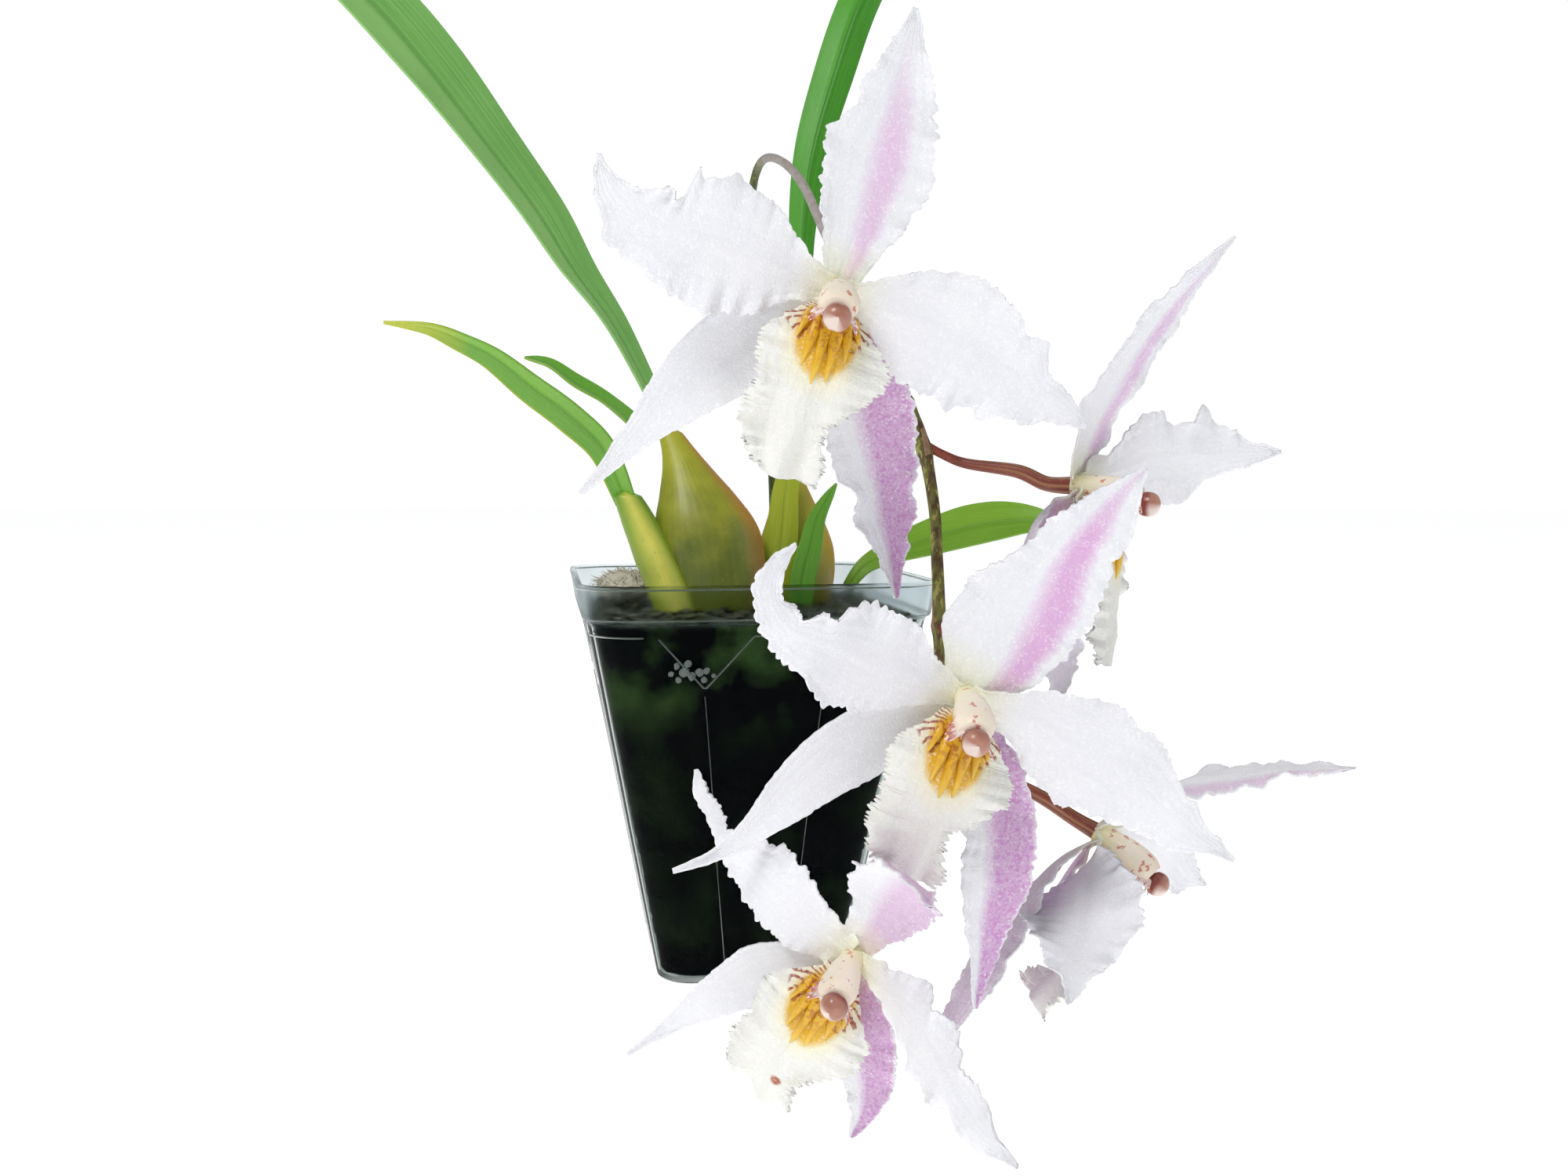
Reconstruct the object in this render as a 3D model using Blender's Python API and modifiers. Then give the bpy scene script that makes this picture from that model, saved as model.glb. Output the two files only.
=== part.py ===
"""Potted orchid in a clear square pot, with one arching stem of five flowers.

Metres, +Z up. The origin is the middle of the pot's base, and -Y is the pot's front.
Every petal, sepal, lip and leaf is a thin blade: a grid bent along its midline and
given thickness. A flower is an empty at the flower's heart that carries its blades.
"""

import math

import bmesh
import bpy
from mathutils import Matrix, Vector

# Pot
POT_HEIGHT = 0.108
POT_WALL = 0.0012
CORNER_SEGMENTS = 4
POT_OUTSIDE = [  # half width, corner radius, height
    (0.0252, 0.0095, 0.0),
    (0.0259, 0.0100, 0.0012),
    (0.0440, 0.0130, 0.0975),
    (0.0452, 0.0132, 0.0990),
    (0.0466, 0.0136, 0.1074),
    (0.0464, 0.0136, 0.1080),
]
POT_INSIDE = [
    (0.0453, 0.0126, 0.1080),
    (0.0439, 0.0122, 0.0990),
    (0.0428, 0.0118, 0.0970),
    (0.0248, 0.0088, 0.0013),
]
DRAIN_HOLE_RADIUS = 0.0026
DRAIN_HOLE_RING = 0.0135
DRAIN_HOLES = 8
BEAD_RADIUS = 0.0005
BEAD_HEIGHT = 0.0950
BEAD_DIP = 0.0136
BEAD_STATIONS = (0.0273, 0.0030)  # where a V begins and ends, from the face's middle
RIB_FOOT = 0.0060

# Potting mix
MIX_TOP = 0.0985
MIX_BOTTOM = 0.0018
MIX_GAP = 0.0006
MIX_BUMP = 0.0006

# Plant
BLADE_THICKNESS = 0.0007
LEAF_THICKNESS = 0.0009
HUB_RADIUS = 0.0026
PETAL_RISE_ABOVE_HUB = 0.0014
LIP_RISE_ABOVE_HUB = 0.0024
COLUMN_LENGTH = 0.0128
CAP_RADIUS = 0.0026

# Share of the full half width at even steps from base to tip
SEPAL_SHAPE = (0.16, 0.44, 0.80, 0.98, 1.0, 0.90, 0.73, 0.50, 0.27, 0.04)
PETAL_SHAPE = (0.11, 0.34, 0.74, 0.97, 1.0, 0.90, 0.70, 0.45, 0.22, 0.03)
LIP_SHAPE = (0.12, 0.22, 0.62, 0.92, 1.0, 0.96, 0.84, 0.62, 0.50, 0.12)
LEAF_SHAPE = (0.26, 0.34, 0.46, 0.62, 0.79, 0.93, 1.0, 0.92, 0.62, 0.05)
STRAP_SHAPE = (0.90, 1.0, 1.0, 0.98, 0.92, 0.84, 0.74, 0.60, 0.38, 0.06)

# A flower: heart (mm), heading, tilt and roll (degrees), where its anther cap sits to the
# side of and below the heart's axis (mm), then its blades. A blade: clock angle, length,
# full width (mm), pitch at base, third and tip, sweep at two thirds and at the tip,
# twist (degrees), cup (share of the half width).
FLOWERS = {
    "flower_top": {
        "heart": (-1, -130, 169),
        "pose": (-5, -6, -18),
        "cap": (0, -5.0),
        "blades": {
            "dorsal_sepal": (88, 55, 20, (-11, -16, -19), (-3, -11), 0, 0.10),
            "petal_left": (178, 49, 23, (10, 6, 0), (-4, 75), 0, -0.06),
            "petal_right": (1, 51, 23, (10, 4, 0), (18, 13), 0, -0.06),
            "lateral_sepal_left": (225, 60, 16, (-10, -9, -5), (-19, -18), 0, 0.12),
            "lateral_sepal_right": (307, 60, 17, (-10, -10, -10), (8, 11), -14, 0.12),
            "lip": (271, 36, 25, (63, 8, -21), (-1, -1), 0, -0.16),
        },
    },
    "flower_middle": {
        "heart": (22, -138, 94),
        "pose": (-3, -6, -23),
        "cap": (0.4, -4.7),
        "blades": {
            "dorsal_sepal": (79, 51, 22, (0, 4, -6), (5, 7), 0, 0.10),
            "petal_left": (179, 55, 18, (15, 19, 23), (2, 142), 0, -0.06),
            "petal_right": (4, 56, 20, (14, 13, 9), (21, 10), 0, -0.06),
            "lateral_sepal_left": (226, 63, 14, (-8, -7, -1), (-25, 13), 0, 0.12),
            "lateral_sepal_right": (317, 59, 15, (-2, 10, 12), (36, 29), -14, 0.12),
            "lip": (272, 36, 25, (63, 2, -26), (-2, -2), 0, -0.16),
        },
    },
    "flower_low": {
        "heart": (3, -131, 43),
        "pose": (-35, -11, -29),
        "cap": (2.4, -0.8),
        "blades": {
            "dorsal_sepal": (89, 50, 17, (2, 37, 88), (10, 35), 0, 0.10),
            "petal_left": (170, 48, 16, (7, -14, -34), (-7, 35), 0, -0.06),
            "petal_right": (11, 54, 17, (33, 45, 40), (-1, -19), 0, -0.06),
            "lateral_sepal_left": (227, 59, 12, (-7, 3, 15), (-19, -18), 0, 0.12),
            "lateral_sepal_right": (300, 40, 14, (0, -4, 6), (3, 40), -10, 0.12),
            "lip": (266, 36, 25, (62, 3, -22), (0, -1), 0, -0.16),
        },
    },
    "flower_right": {
        "heart": (52, -116, 133),
        "pose": (54, -4, -3),
        "cap": (0, -2.6),
        "blades": {
            "dorsal_sepal": (86, 57, 17, (8, 29, 38), (10, 9), -36, 0.10),
            "petal_left": (244, 46, 17, (0, 6, 0), (-14, -22), -40, -0.06),
            "petal_right": (23, 57, 19, (24, 36, 44), (12, 11), 0, -0.06),
            "lateral_sepal_left": (245, 46, 14, (-50, 0, 30), (-4, 6), -40, 0.12),
            "lateral_sepal_right": (310, 56, 15, (-10, -8, -6), (6, 12), 0, 0.12),
            "lip": (268, 36, 25, (62, 4, -10), (1, 0), 0, -0.16),
        },
    },
    "flower_side": {
        "heart": (58, -117, 61),
        "pose": (52, -25, -13),
        "cap": (0.6, -3.0),
        "blades": {
            "dorsal_sepal": (102, 55, 14, (25, 47, 60), (-21, -21), 24, 0.10),
            "petal_left": (220, 33, 23, (14, 27, 26), (-6, -4), -50, -0.06),
            "petal_right": (8, 52, 19, (20, 23, 23), (20, 10), 0, -0.06),
            "lateral_sepal_left": (255, 56, 13, (-30, 0, 2), (-4, 8), -50, 0.12),
            "lateral_sepal_right": (310, 52, 14, (-12, -12, -10), (6, 10), 0, 0.12),
            "lip": (267, 37, 24, (59, -5, -22), (1, 1), -46, -0.16),
        },
    },
}

# A leaf: points along its midline (mm), full width (mm), turn of the blade (degrees)
# about its midline at the base and at the tip, fold (share of the half width), shape.
LEAVES = {
    "leaf_large": (
        [(-22, -8, 149), (-27, -2, 161), (-35, 4, 177), (-45, 10, 192), (-55, 14, 209),
         (-69, 16, 228), (-84, 15, 247), (-98, 12, 262), (-112, 8, 272), (-126, 2, 277)],
        21, (8, -14), 0.22, LEAF_SHAPE,
    ),
    "leaf_upright": (
        [(15, 3, 139), (17, 5, 159), (19, 9, 181), (20, 12, 204), (23, 14, 226),
         (29, 15, 247), (37, 14, 270), (47, 7, 288), (57, -2, 298)],
        13, (-60, -20), 0.20, LEAF_SHAPE,
    ),
    "leaf_low_left": (
        [(-34.5, -13, 132.5), (-39.5, -14, 143), (-47, -16, 150.5), (-57, -18, 158),
         (-66, -21, 165), (-74, -22, 169), (-82, -24, 172), (-93, -24, 173)],
        10, (-30, -58), 0.26, STRAP_SHAPE,
    ),
    "leaf_short": (
        [(-25, 6, 144), (-30, 8, 150), (-37, 11, 156), (-45, 12, 161), (-52, 13, 166),
         (-59, 14, 168)],
        8, (-10, -30), 0.26, STRAP_SHAPE,
    ),
    "leaf_right": (
        [(32, 6, 103), (37, 6, 109), (46, 8, 113), (56, 10, 116), (70, 10, 120),
         (84, 8, 122), (97, 3, 121)],
        12, (20, 30), 0.20, LEAF_SHAPE,
    ),
    "leaf_bract": (
        [(14, -14, 100), (15, -14, 108), (17, -14, 116), (19, -14, 124), (24, -15, 133)],
        9, (4, -24), 0.24, STRAP_SHAPE,
    ),
    "leaf_strap": (
        [(9, -10, 100), (9, -10, 110), (10, -10, 120), (11, -9, 130), (13, -8, 140),
         (16, -6, 150)],
        9, (-6, -6), -0.20, STRAP_SHAPE,
    ),
}

# A bulb: foot (mm), height (mm), lean of the top (mm) and how late it comes, half widths
# (mm) across and front to back, and the share of that at even steps up.
BULBS = {
    "bulb_front": ((-9, -15, 99.4), 49, (-12.5, 7, 2.1), (13.6, 8.5),
                   (0.60, 0.82, 0.97, 1.0, 0.93, 0.74, 0.50, 0.29, 0.15)),
    "bulb_right": ((16, 0, 99.4), 38, (-1, 3, 1.7), (10.5, 7.5),
                   (0.70, 0.88, 1.0, 0.98, 0.88, 0.72, 0.52, 0.32, 0.14)),
    "growth_left": ((-20.5, -25, 99.4), 30.5, (-12.5, 11, 1.15), (3.8, 3.2),
                    (0.80, 0.96, 1.0, 1.0, 0.98, 0.92, 0.84, 0.72, 0.50)),
}

# Flower stem: points (mm) and radius (mm)
STEM = [
    (11, 13, 99.6, 1.5), (11, 10, 118, 1.4), (9, 3, 145, 1.35), (6, -6, 166, 1.3),
    (2, -16, 184, 1.25), (-1, -26, 198, 1.2), (-2, -37, 207.5, 1.15), (-1, -48, 211, 1.1),
    (2, -58, 208, 1.1), (5, -67, 201, 1.15), (8, -75, 190, 1.2), (12, -83, 177, 1.25),
    (17, -91, 165, 1.3), (20, -97, 154, 1.35), (24, -100, 143, 1.5), (26, -103, 129, 1.35),
    (26, -106, 117, 1.4), (26, -108, 105, 1.5), (26, -109, 92, 1.3), (27, -110, 79, 1.4),
    (26, -109, 66, 1.15), (23, -109, 55, 1.1), (19, -110, 51, 1.1),
]
FLOWER_STALKS = {
    "flower_top": [(18, -99, 157, 0.8), (15, -106, 164, 0.9), (7, -114, 168, 1.2)],
    "flower_middle": [(26, -111.5, 103, 0.9), (26, -119, 101, 1.1), (25, -126, 97, 1.4)],
    "flower_low": [(17, -112, 50, 0.9), (14, -117, 48.5, 1.1), (9, -123, 46, 1.4)],
    "flower_right": [(27, -101.5, 141, 0.9), (32, -102, 137, 1.1), (42, -109, 136, 1.4)],
    "flower_side": [(29, -110.5, 77, 1.0), (37, -111, 73, 1.2), (47, -111.5, 68, 1.4)],
}
STALK_END_RADIUS = 1.5
BRACT_LENGTH = 5.5
BRACT_WIDTH = 3.4
BRACT_THICKNESS = 0.0005
BRACTS = [  # foot inside the stem (mm), heading and lean (degrees)
    (19.5, -97, 154.5, 200, 16), (25, -101.5, 139.5, 90, 16), (26, -108, 103.5, 60, 16),
    (27, -110, 77, 100, 16), (23, -109, 55.5, 20, 16),
]
MOSS_PLACE = (-32, 4, 104.1)
MOSS_HALF_SIZE = (8.5, 12, 4.6)

COLOURS = {  # base colour, roughness
    "clear_plastic": ((0.62, 0.72, 0.68), 0.15),
    "dark_mix": ((0.02, 0.025, 0.02), 0.9),
    "pale_moss": ((0.62, 0.56, 0.42), 0.9),
    "bulb_green": ((0.13, 0.17, 0.02), 0.45),
    "leaf_green": ((0.10, 0.26, 0.03), 0.4),
    "stem_olive": ((0.16, 0.13, 0.04), 0.5),
    "stalk_maroon": ((0.22, 0.06, 0.03), 0.5),
    "petal_white": ((0.86, 0.86, 0.90), 0.5),
    "petal_pink": ((0.70, 0.45, 0.70), 0.5),
    "lip_cream": ((0.88, 0.86, 0.74), 0.5),
    "column_cream": ((0.84, 0.74, 0.60), 0.45),
    "cap_pink": ((0.55, 0.30, 0.24), 0.4),
}
MM = 0.001


def clear_scene():
    for obj in list(bpy.data.objects):
        bpy.data.objects.remove(obj, do_unlink=True)


def new_collection(name):
    collection = bpy.data.collections.new(name)
    bpy.context.scene.collection.children.link(collection)
    return collection


def new_materials():
    made = {}
    for name, (colour, roughness) in COLOURS.items():
        material = bpy.data.materials.new(name)
        material.use_nodes = True
        shader = material.node_tree.nodes["Principled BSDF"]
        shader.inputs["Base Color"].default_value = (*colour, 1.0)
        shader.inputs["Roughness"].default_value = roughness
        shader.inputs["Metallic"].default_value = 0.0
        material.diffuse_color = (*colour, 1.0)
        made[name] = material
    return made


def add_object(name, data, material):
    data.materials.append(material)
    obj = bpy.data.objects.new(name, data)
    PLANT.objects.link(obj)
    return obj


def mesh_from(bm, name, smooth=True):
    bmesh.ops.recalc_face_normals(bm, faces=bm.faces[:])
    mesh = bpy.data.meshes.new(name)
    bm.to_mesh(mesh)
    bm.free()
    for polygon in mesh.polygons:
        polygon.use_smooth = smooth
    return mesh


def at_share(values, share):
    """The value at a share 0 to 1 along a list of evenly spaced values."""
    place = min(max(share, 0.0), 1.0) * (len(values) - 1)
    low = min(int(place), len(values) - 2)
    return values[low] + (values[low + 1] - values[low]) * (place - low)


def smooth_path(points, steps):
    """Points at even shares along a smooth curve through the given points."""
    spans = len(points) - 1
    path = []
    for step in range(steps + 1):
        place = step / steps * spans
        low = min(int(place), spans - 1)
        t = place - low
        before, a, b, after = (
            Vector(points[min(max(low + k, 0), spans)]) for k in (-1, 0, 1, 2)
        )
        bend = 2 * a + (b - before) * t
        bend += (2 * before - 5 * a + 4 * b - after) * t**2
        bend += (3 * a - before - 3 * b + after) * t**3
        path.append(bend / 2)
    return path


# Pot and potting mix


def square_ring(half_width, radius, height):
    """Points round a square with rounded corners."""
    inset = half_width - radius
    points = []
    for quarter in range(4):
        turn = quarter * math.pi / 2
        corner = Matrix.Rotation(turn, 3, "Z") @ Vector((inset, inset, height))
        for step in range(CORNER_SEGMENTS + 1):
            angle = turn + step / CORNER_SEGMENTS * math.pi / 2
            points.append(corner + radius * Vector((math.cos(angle), math.sin(angle), 0)))
    return points


def loft(bm, rings):
    """Skins a list of rings, each given as points, and returns their vertices."""
    skins = [[bm.verts.new(point) for point in ring] for ring in rings]
    for low, high in zip(skins, skins[1:]):
        for index, vertex in enumerate(low):
            after = (index + 1) % len(low)
            bm.faces.new((vertex, low[after], high[after], high[index]))
    return skins


def face_half_width(height):
    foot, top = POT_OUTSIDE[1], POT_OUTSIDE[2]
    return foot[0] + (top[0] - foot[0]) * (height - foot[2]) / (top[2] - foot[2])


def bead_points():
    """The zigzag line moulded round the pot, as points on its outside."""
    wide, narrow = BEAD_STATIONS
    middle = (wide + narrow) / 2
    low = BEAD_HEIGHT - BEAD_DIP
    half_face = [(-wide, BEAD_HEIGHT), (-middle, low), (-narrow, BEAD_HEIGHT)]
    face = half_face + [(-across, height) for across, height in reversed(half_face)]
    points = []
    for quarter in range(4):
        turn = Matrix.Rotation(quarter * math.pi / 2, 3, "Z")
        for across, height in face:
            points.append(turn @ Vector((across, -face_half_width(height), height)))
        corner = square_ring(face_half_width(BEAD_HEIGHT), 0.0129, BEAD_HEIGHT)
        start = (quarter + 3) % 4 * (CORNER_SEGMENTS + 1)
        points += corner[start : start + CORNER_SEGMENTS + 1]
    return points


def wire(name, points, radius, cyclic):
    curve = bpy.data.curves.new(name, "CURVE")
    curve.dimensions = "3D"
    curve.bevel_depth = radius
    curve.bevel_resolution = 0
    curve.use_fill_caps = True
    spline = curve.splines.new("POLY")
    spline.points.add(len(points) - 1)
    for place, point in zip(spline.points, points):
        place.co = (*point, 1)
    spline.use_cyclic_u = cyclic
    return curve


def mesh_of_curve(curve, name, smooth=False):
    """The curve's surface as a closed mesh in the helpers' collection."""
    source = bpy.data.objects.new(name, curve)
    HELPERS.objects.link(source)
    bpy.context.view_layer.update()
    graph = bpy.context.evaluated_depsgraph_get()
    mesh = bpy.data.meshes.new_from_object(source.evaluated_get(graph))
    bpy.data.objects.remove(source, do_unlink=True)
    bm = bmesh.new()
    bm.from_mesh(mesh)
    bmesh.ops.remove_doubles(bm, verts=bm.verts[:], dist=1e-6)
    return mesh_from(bm, name, smooth)


def add_helper(name, mesh):
    helper = bpy.data.objects.new(name, mesh)
    helper.display_type = "WIRE"
    helper.hide_render = True
    HELPERS.objects.link(helper)
    return helper


def add_boolean(obj, helper, operation):
    modifier = obj.modifiers.new(helper.name, "BOOLEAN")
    modifier.object = helper
    modifier.operation = operation
    modifier.solver = "EXACT"


def drain_cutter():
    bm = bmesh.new()
    for index in range(DRAIN_HOLES):
        angle = (index + 0.5) / DRAIN_HOLES * math.tau
        place = Matrix.Translation(
            (DRAIN_HOLE_RING * math.cos(angle), DRAIN_HOLE_RING * math.sin(angle), 0)
        )
        bmesh.ops.create_cone(
            bm, cap_ends=True, segments=12, radius1=DRAIN_HOLE_RADIUS,
            radius2=DRAIN_HOLE_RADIUS, depth=0.006, matrix=place,
        )
    return add_helper("drain_holes", mesh_from(bm, "drain_holes", smooth=False))


def build_pot():
    bm = bmesh.new()
    skins = loft(bm, [square_ring(*row) for row in POT_OUTSIDE + POT_INSIDE])
    bm.faces.new(skins[0][::-1])
    bm.faces.new(skins[-1])
    pot = add_object("pot", mesh_from(bm, "pot", smooth=False), FINISH["clear_plastic"])
    zigzag = wire("zigzag", bead_points(), BEAD_RADIUS, cyclic=True)
    add_boolean(pot, add_helper("zigzag", mesh_of_curve(zigzag, "zigzag")), "UNION")
    middle = sum(BEAD_STATIONS) / 2
    low = BEAD_HEIGHT - BEAD_DIP
    for quarter in range(4):
        turn = Matrix.Rotation(quarter * math.pi / 2, 3, "Z")
        for side in (-1, 1):
            ends = [
                turn @ Vector((side * middle * share, -face_half_width(height), height))
                for height, share in ((low - 0.0018, 1.0), (RIB_FOOT, 0.57))
            ]
            name = f"rib_{quarter}_{side + 1}"
            rib = mesh_of_curve(wire(name, ends, BEAD_RADIUS, cyclic=False), name)
            add_boolean(pot, add_helper(name, rib), "UNION")
    add_boolean(pot, drain_cutter(), "DIFFERENCE")


def build_mix():
    bm = bmesh.new()
    low, high = POT_INSIDE[3], POT_INSIDE[2]
    rings = []
    for height in (MIX_BOTTOM, MIX_TOP - 0.0016):
        share = (height - low[2]) / (high[2] - low[2])
        half = low[0] + (high[0] - low[0]) * min(share, 1.0) - MIX_GAP
        radius = low[1] + (high[1] - low[1]) * min(share, 1.0)
        rings.append(square_ring(half, radius, height))
    for shrink, rise in ((0.97, 0.0012), (0.80, 0.0016), (0.55, 0.0016), (0.28, 0.0016)):
        ring = []
        for index, point in enumerate(rings[1]):
            bump = MIX_BUMP * math.sin(index * 2.4 + shrink * 19)
            ring.append((point.x * shrink, point.y * shrink, point.z + rise + bump))
        rings.append(ring)
    skins = loft(bm, rings)
    bm.faces.new(skins[0][::-1])
    middle = bm.verts.new((0, 0, MIX_TOP))
    last = skins[-1]
    for index, vertex in enumerate(last):
        bm.faces.new((vertex, last[(index + 1) % len(last)], middle))
    add_object("potting_mix", mesh_from(bm, "potting_mix", smooth=False), FINISH["dark_mix"])


def add_ball(bm, place, half_size, segments, rings, roughen=0.0):
    """One closed lump, its surface raised and lowered by a share of its size."""
    made = bmesh.ops.create_uvsphere(
        bm, u_segments=segments, v_segments=rings, radius=1.0
    )["verts"]
    for index, vertex in enumerate(made):
        swell = 1 + roughen * math.sin(index * 2.1 + place[0])
        scaled = (vertex.co[axis] * half_size[axis] * swell for axis in range(3))
        vertex.co = (Vector(scaled) + Vector(place)) * MM


def build_moss():
    bm = bmesh.new()
    add_ball(bm, MOSS_PLACE, MOSS_HALF_SIZE, 12, 8, 0.07)
    add_object("moss_tuft", mesh_from(bm, "moss_tuft"), FINISH["pale_moss"])


# Bulbs, leaves and stems


def build_bulb(name, foot, height, lean, half_widths, shape):
    bm = bmesh.new()
    bmesh.ops.create_uvsphere(bm, u_segments=14, v_segments=10, radius=1.0)
    for vertex in bm.verts:
        rise = (vertex.co.z + 1) / 2
        out = Vector((vertex.co.x, vertex.co.y, 0))
        if out.length > 1e-4:
            out.normalize()
        swell = at_share(shape, rise)
        vertex.co = Vector((
            foot[0] + lean[0] * rise**lean[2] + out.x * half_widths[0] * swell,
            foot[1] + lean[1] * rise**lean[2] + out.y * half_widths[1] * swell,
            foot[2] + height * rise,
        )) * MM
    add_object(name, mesh_from(bm, name), FINISH["bulb_green"])


def blade_mesh(name, rows, widths, cup, wave):
    """A flat grid laid on rows, each a place with its across, along and face axes."""
    bm = bmesh.new()
    bmesh.ops.create_grid(bm, x_segments=4, y_segments=len(rows) - 1, size=0.5)
    for vertex in bm.verts:
        row = round((vertex.co.y + 0.5) * (len(rows) - 1))
        side = vertex.co.x * 2
        place, axes = rows[row]
        half = widths[row] / 2
        ripple = wave * math.sin(row * 2.3 + side) * side**2
        lift = cup * half * side**2 + ripple * min(half, 4.0)
        vertex.co = (place + axes.col[0] * side * half + axes.col[2] * lift) * MM
    return mesh_from(bm, name)


def add_blade(name, mesh, finish, thickness):
    obj = add_object(name, mesh, FINISH[finish])
    shell = obj.modifiers.new("thickness", "SOLIDIFY")
    shell.thickness = thickness
    shell.offset = 0.0
    return obj


def leaf_rows(points, turns, steps):
    """Rows along a leaf's midline, carried up it without spinning and then turned."""
    path = smooth_path(points, steps)
    rows = []
    across = None
    for index, place in enumerate(path):
        along = path[min(index + 1, steps)] - path[max(index - 1, 0)]
        along.normalize()
        if across is None:
            across = along.cross(Vector((0, 0, 1)))
            if across.length < 0.5:
                across = Vector((1, 0, 0))
        across = (across - along * across.dot(along)).normalized()
        turn = math.radians(turns[0] + (turns[1] - turns[0]) * index / steps)
        side = Matrix.Rotation(turn, 3, along) @ across
        rows.append((place, Matrix((side, along, side.cross(along))).transposed()))
    return rows


def build_leaves():
    for name, (points, width, turns, fold, shape) in LEAVES.items():
        steps = 14 if len(points) > 7 else 9
        rows = leaf_rows(points, turns, steps)
        widths = [width * at_share(shape, row / steps) for row in range(steps + 1)]
        mesh = blade_mesh(name, rows, widths, fold, 0.0)
        add_blade(name, mesh, "leaf_green", LEAF_THICKNESS)


def stem_curve(name, points, steps):
    """A round stem through points that carry their own radius."""
    path = smooth_path(points, steps)
    curve = bpy.data.curves.new(name, "CURVE")
    curve.dimensions = "3D"
    curve.bevel_depth = MM
    curve.bevel_resolution = 2
    curve.use_fill_caps = True
    spline = curve.splines.new("POLY")
    spline.points.add(len(path) - 1)
    for place, point in zip(spline.points, path):
        place.co = (point[0] * MM, point[1] * MM, point[2] * MM, 1)
        place.radius = point[3]
    spline.use_smooth = True
    return curve


def bract_solid(x, y, z, heading, lean):
    """A small pointed scale that clasps the stem below a flower stalk."""
    bm = bmesh.new()
    bmesh.ops.create_grid(bm, x_segments=2, y_segments=3, size=0.5)
    place = Matrix.Translation(Vector((x, y, z)) * MM)
    place = place @ Matrix.Rotation(math.radians(heading), 4, "Z")
    place = place @ Matrix.Rotation(math.radians(90 - lean), 4, "X")
    for vertex in bm.verts:
        up = vertex.co.y + 0.5
        half = BRACT_WIDTH / 2 * (1 - up) ** 0.7 + 0.15
        side = vertex.co.x * 2
        vertex.co = place @ (Vector((side * half, up * BRACT_LENGTH, 0.5 * side**2)) * MM)
    flat = bm.faces[:]
    bmesh.ops.solidify(bm, geom=flat, thickness=BRACT_THICKNESS)
    return mesh_from(bm, "bract")


def build_flower_stem():
    """The stem as a mesh, with a bract grown out of it below each flower stalk."""
    curve = stem_curve("flower_stem", STEM, 36)
    stem = add_object("flower_stem", mesh_of_curve(curve, "flower_stem", smooth=True),
                      FINISH["stem_olive"])
    for index, row in enumerate(BRACTS):
        add_boolean(stem, add_helper(f"bract_{index}", bract_solid(*row)), "UNION")


# Flowers


def petal_rows(length, pitches, sweeps, twist, steps):
    """Rows along a petal that starts at the origin and runs out along +Y."""
    base, third, tip = pitches
    bend, hook = sweeps
    pitch_steps = (base, base * 0.3 + third * 0.7, third, third * 0.75 + tip * 0.25,
                   (third + tip) / 2, tip)
    sweep_steps = (0, bend / 3, bend * 2 / 3, bend, (bend + hook) / 2, hook)
    place = Vector((0, 0, 0))
    rows = []
    for index in range(steps + 1):
        share = index / steps
        axes = Matrix.Rotation(math.radians(at_share(pitch_steps, share)), 3, "X")
        axes = axes @ Matrix.Rotation(math.radians(-at_share(sweep_steps, share)), 3, "Z")
        axes = axes @ Matrix.Rotation(math.radians(twist * share), 3, "Y")
        rows.append((place.copy(), axes))
        place = place + axes.col[1] * length / steps
    return rows


def build_flower_blade(flower, heart, part, row):
    clock, length, width, pitches, sweeps, twist, cup = row
    kind = part.split("_")[0]
    steps = 11 if kind == "lip" else 9
    shape = {"petal": PETAL_SHAPE, "lip": LIP_SHAPE}.get(kind, SEPAL_SHAPE)
    rise = {"petal": PETAL_RISE_ABOVE_HUB, "lip": LIP_RISE_ABOVE_HUB}.get(kind, 0.0)
    finish = {"lip": "lip_cream", "lateral": "petal_pink"}.get(kind, "petal_white")
    widths = [width * at_share(shape, index / steps) for index in range(steps + 1)]
    wave = {"petal": 0.16, "lip": 0.12}.get(kind, 0.05)
    name = f"{flower}_{part}"
    rows = petal_rows(length, pitches, sweeps, twist, steps)
    blade = add_blade(name, blade_mesh(name, rows, widths, cup, wave), finish,
                      BLADE_THICKNESS)
    blade.parent = heart
    blade.matrix_local = (
        Matrix.Rotation(math.radians(clock - 90), 4, "Z")
        @ Matrix.Translation((0, HUB_RADIUS, rise))
    )


def build_column(flower, heart, cap):
    """The column stands out of the heart and nods to where its cap sits."""
    points = [
        (cap[0] * share, cap[1] * share, height, radius)
        for share, height, radius in (
            (0, -0.4, 1.5), (0, 3, 1.6), (0.2, 7, 1.9), (0.55, 11, 2.5),
            (0.75, COLUMN_LENGTH / MM, 2.3),
        )
    ]
    name = f"{flower}_column"
    column = add_object(name, stem_curve(name, points, 7), FINISH["column_cream"])
    column.parent = heart


def build_cap(flower, heart, cap):
    """A round cap over the end of the column."""
    bm = bmesh.new()
    add_ball(bm, (*cap, COLUMN_LENGTH / MM + 2.6), (CAP_RADIUS / MM, CAP_RADIUS / MM, 2.1), 10, 6)
    name = f"{flower}_anther_cap"
    add_object(name, mesh_from(bm, name), FINISH["cap_pink"]).parent = heart


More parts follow.
